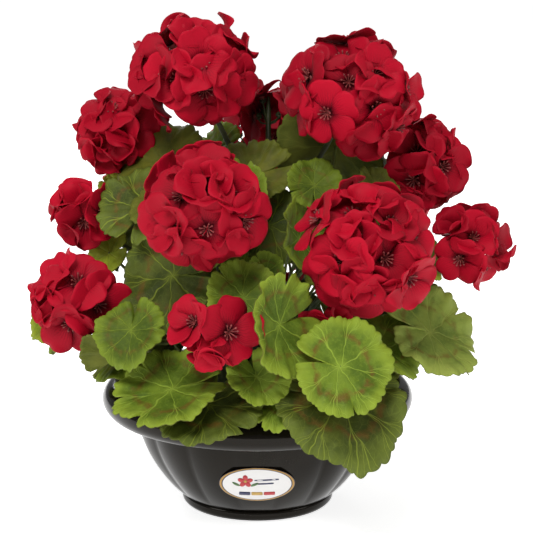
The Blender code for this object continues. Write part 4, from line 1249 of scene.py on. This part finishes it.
def build_label(outside):
    """The oval label and its raised print, bent round the front of the bowl."""
    low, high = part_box("label")
    wide, tall = (high[0] - low[0]) / 2, (high[2] - low[2]) / 2
    middle = (high[2] + low[2]) / 2

    def on_bowl(across, up, lift):
        height = middle + up
        radius = surface_radius(outside, height) + lift
        turn = across / radius
        return (radius * math.sin(turn), -radius * math.cos(turn), height)

    segments, shares = 72, (0.0, 0.3, 0.55, 0.75, 0.9, 0.975, 1.0)
    sheets, flat = [], []
    for lift in (LABEL_LIFT, LABEL_BACK):
        for share in shares:
            for segment in range(segments if share else 1):
                turn = 2 * math.pi * segment / segments
                across, up = share * math.cos(turn), share * math.sin(turn)
                drop = 0.0003 if share == 1.0 and lift == LABEL_LIFT else 0.0
                sheets.append(on_bowl(across * wide, up * tall, lift - drop))
                flat.append((across, up))
    count = len(sheets) // 2
    index, after, fan, bands = round_sheet(len(shares) - 1, segments)
    faces = two_sides(fan, bands, index, after, count)
    pile = Pile(("oval",))
    pile.add(np.array(sheets), faces, (0,) * 5, oval=np.array(flat))
    finished(new_object("label_oval", pile.mesh("label_oval", (label_print,))), "label", "label")

    print_pile = Pile()

    def plate(centre, half_wide, half_tall, lean, finish, corners=24, square=1.0):
        """A thin raised patch, an ellipse or with its corners filled out."""
        rows = []
        cos, sin = math.cos(math.radians(lean)), math.sin(math.radians(lean))
        for lift in (PRINT_LIFT, PRINT_BACK):
            for corner in range(-1, corners):
                turn = 2 * math.pi * corner / corners
                size = 0.0 if corner < 0 else 1.0
                a = size * half_wide * math.copysign(abs(math.cos(turn)) ** square, math.cos(turn))
                b = size * half_tall * math.copysign(abs(math.sin(turn)) ** square, math.sin(turn))
                across, up = centre[0] + a * cos - b * sin, centre[1] + a * sin + b * cos
                rows.append(on_bowl(across, up, lift))
        half = len(rows) // 2
        ring = 1 + np.arange(corners)
        following = np.roll(ring, -1)
        top = np.stack([np.zeros(corners, int), ring, following], axis=-1)
        walls = np.stack([ring, ring + half, following + half, following], axis=-1)
        print_pile.add(np.array(rows), [top, (top + half)[:, ::-1], walls], (finish,) * 3)

    mm = MILLIMETRE
    for petal in range(5):
        turn = math.radians(90 + 72 * petal)
        spot = (math.cos(turn) * 3.4 * mm - 9 * mm, math.sin(turn) * 3.4 * mm + 3.6 * mm)
        plate(spot, 2.7 * mm, 2.0 * mm, math.degrees(turn), 0)
    plate((-9 * mm, 3.6 * mm), 1.3 * mm, 1.3 * mm, 0, 1)
    for side, lean in ((1, 28), (-1, 152)):
        plate((-9 * mm + side * 7.2 * mm, 0.6 * mm), 3.4 * mm, 1.2 * mm, lean, 2)
    for row, (length, shift) in enumerate(((9.5, 7.5), (7.0, 6.0))):
        plate((shift * mm, (5.0 - 3.6 * row) * mm), length * mm, 0.75 * mm, 2, 3, square=0.4)
    for block, finish in enumerate((3, 1, 0)):
        plate(((block - 1) * 9.6 * mm, -8.6 * mm), 4.4 * mm, 1.7 * mm, 0, finish, square=0.25)
    inks = (
        ink("red", srgb(178, 36, 44)), ink("gold", srgb(186, 148, 70)),
        ink("green", srgb(70, 104, 48)), ink("navy", srgb(34, 38, 78)),
    )
    finished(new_object("label_emblem", print_pile.mesh("label_emblem", inks)), "label")


def granules_tree():
    """Scatters lumps of compost over a surface."""
    inputs = {
        "Lumps": "Collection", "Density": "Float", "Seed": "Int", "Least": "Float", "Most": "Float",
        "Skin": "Material",
    }
    tree, given, out = geometry_tree("compost_lumps", inputs)
    facing = put(tree, "GeometryNodeInputNormal").outputs[0]
    upward = put(tree, "ShaderNodeSeparateXYZ", {0: facing}).outputs[2]
    level = {0: upward, 1: 0.6}
    flat = put(tree, "FunctionNodeCompare", level, data_type="FLOAT", operation="GREATER_THAN").outputs[0]
    spots = put(tree, "GeometryNodeDistributePointsOnFaces", {
        "Mesh": given["Geometry"], "Selection": flat, "Density": given["Density"], "Seed": given["Seed"],
    })
    ends = {0: (0, 0, 0), 1: (6.28, 6.28, 6.28), "Seed": given["Seed"]}
    turn = put(tree, "FunctionNodeRandomValue", ends, data_type="FLOAT_VECTOR").outputs[0]
    turn = put(tree, "FunctionNodeEulerToRotation", {0: turn}).outputs[0]
    ends = {2: given["Least"], 3: given["Most"], "Seed": given["Seed"]}
    size = put(tree, "FunctionNodeRandomValue", ends, data_type="FLOAT").outputs[1]
    placed = put(tree, "GeometryNodeInstanceOnPoints", {
        "Points": spots.outputs[0], "Instance": each_child(tree, given["Lumps"]), "Pick Instance": True,
        "Rotation": turn, "Scale": size,
    })
    made = put(tree, "GeometryNodeRealizeInstances", {"Geometry": placed.outputs[0]})
    made = put(tree, "GeometryNodeSetMaterial", {"Geometry": made.outputs[0], "Material": given["Skin"]})
    tree.links.new(made.outputs[0], out)
    return tree


def build_compost():
    """The bed of compost inside the bowl, with loose lumps on it."""
    low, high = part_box("soil")
    reach = high[0] - 0.0006
    rings, segments = COMPOST_RINGS, COMPOST_SEGMENTS
    rows = []
    for ring in range(rings + 1):
        share = ring / rings
        level = high[2] - 0.0045 * share**2 - 0.001
        for segment in range(segments if ring else 1):
            turn = 2 * math.pi * segment / segments
            spot = Vector((share * reach * math.sin(turn), -share * reach * math.cos(turn), 0))
            bumps = noise.noise(spot * 70) * 0.0022 + noise.noise(spot * 260) * 0.0009
            rows.append((spot.x, spot.y, level + bumps * (1 - share**6)))
    bottom = low[2] + 0.35 * (high[2] - low[2])
    lower_reach = reach * 0.80
    for ring in (1.0, 0.5):
        for segment in range(segments):
            turn = 2 * math.pi * segment / segments
            across = ring * lower_reach
            rows.append((across * math.sin(turn), -across * math.cos(turn), bottom))
    rows.append((0, 0, bottom))
    verts = np.array(rows)
    index, after, top, walls = round_sheet(rings + 2, segments)
    end = np.stack([np.full(segments, len(verts) - 1), after[-1], index[-1]], axis=-1)
    pile = Pile()
    pile.add(verts, [top, end, walls], (0, 0, 0))
    mesh = pile.mesh("compost_bed", (compost_brown,))
    bed = new_object("compost_bed", mesh)
    shelf = bpy.data.collections.new("lumps")
    for number in range(LUMP_KINDS):
        rng = np.random.default_rng(number + 40)
        shell = bmesh.new()
        bmesh.ops.create_icosphere(shell, subdivisions=1, radius=1.0)
        for vert in shell.verts:
            vert.co *= rng.uniform(0.6, 1.15)
        lump = bpy.data.meshes.new("lump_%d" % number)
        shell.to_mesh(lump)
        shell.free()
        shelf.objects.link(bpy.data.objects.new("lump_%d" % number, lump))
    carrier = new_object("lump_carrier", mesh.copy())
    lumps = plain_mesh(granules_tree(), carrier, {"Lumps": shelf, "Skin": compost_brown, **LUMPS})
    emptied(shelf)
    finished(bed, "soil", "soil")
    finished(new_object("compost_lumps", lumps), "soil")


# The studio


def build_studio():
    """A plain pale floor, soft lights and the camera."""
    floor_material = bpy.data.materials.new("studio_floor")
    floor_material.use_nodes = True
    shader = floor_material.node_tree.nodes["Principled BSDF"]
    shader.inputs["Base Color"].default_value = (0.93, 0.93, 0.93, 1.0)
    shader.inputs["Roughness"].default_value = 0.9
    shader.inputs["Specular IOR Level"].default_value = 0.1
    shader.inputs["Emission Color"].default_value = (1.0, 1.0, 1.0, 1.0)
    shader.inputs["Emission Strength"].default_value = FLOOR_GLOW
    shell = bmesh.new()
    bmesh.ops.create_circle(shell, cap_ends=True, segments=64, radius=14.0)
    floor_mesh = bpy.data.meshes.new("studio_floor")
    shell.to_mesh(floor_mesh)
    shell.free()
    floor_mesh.materials.append(floor_material)
    floor = new_object("studio_floor", floor_mesh)
    floor.location.z = -0.0004

    world = bpy.data.worlds.new("studio")
    world.use_nodes = True
    backdrop = world.node_tree.nodes["Background"].inputs
    backdrop["Color"].default_value = (1.0, 1.0, 1.0, 1.0)
    backdrop["Strength"].default_value = WORLD_LIGHT
    bpy.context.scene.world = world

    def softbox(name, place, size, power):
        light = bpy.data.lights.new(name, "AREA")
        light.shape = "DISK"
        light.size = size
        light.energy = power
        made = new_object(name, light)
        made.location = place
        aim = Vector((0, 0, 0.2)) - Vector(place)
        made.rotation_euler = aim.to_track_quat("-Z", "Y").to_euler()

    softbox("key_softbox", (-0.45, -1.5, 1.9), 0.9, 36)
    softbox("left_softbox", (-1.9, -0.9, 1.1), 1.0, 9)
    softbox("right_softbox", (2.0, -0.7, 1.2), 1.0, 7)
    softbox("top_softbox", (0.1, 0.3, 2.2), 1.2, 12)
    softbox("back_softbox", (-0.5, 1.9, 1.1), 1.0, 9)

    lens = bpy.data.cameras.new("camera")
    lens.sensor_width = SENSOR
    lens.lens = LENS
    camera = new_object("camera", lens)
    back = toward(0, CAMERA_ELEVATION)
    camera.location = Vector(CAMERA_TARGET) + back * CAMERA_DISTANCE
    camera.rotation_euler = (math.radians(90 - CAMERA_ELEVATION), 0, 0)
    bpy.context.scene.camera = camera
    bpy.context.scene.view_settings.view_transform = "Standard"
    bpy.context.scene.view_settings.look = "None"


build_studio()
build_label(build_bowl())
build_compost()
for number, stem_node in enumerate(nodes_named("stems_")):
    build_stems(stem_node, number)
build_heads()
build_leaves()
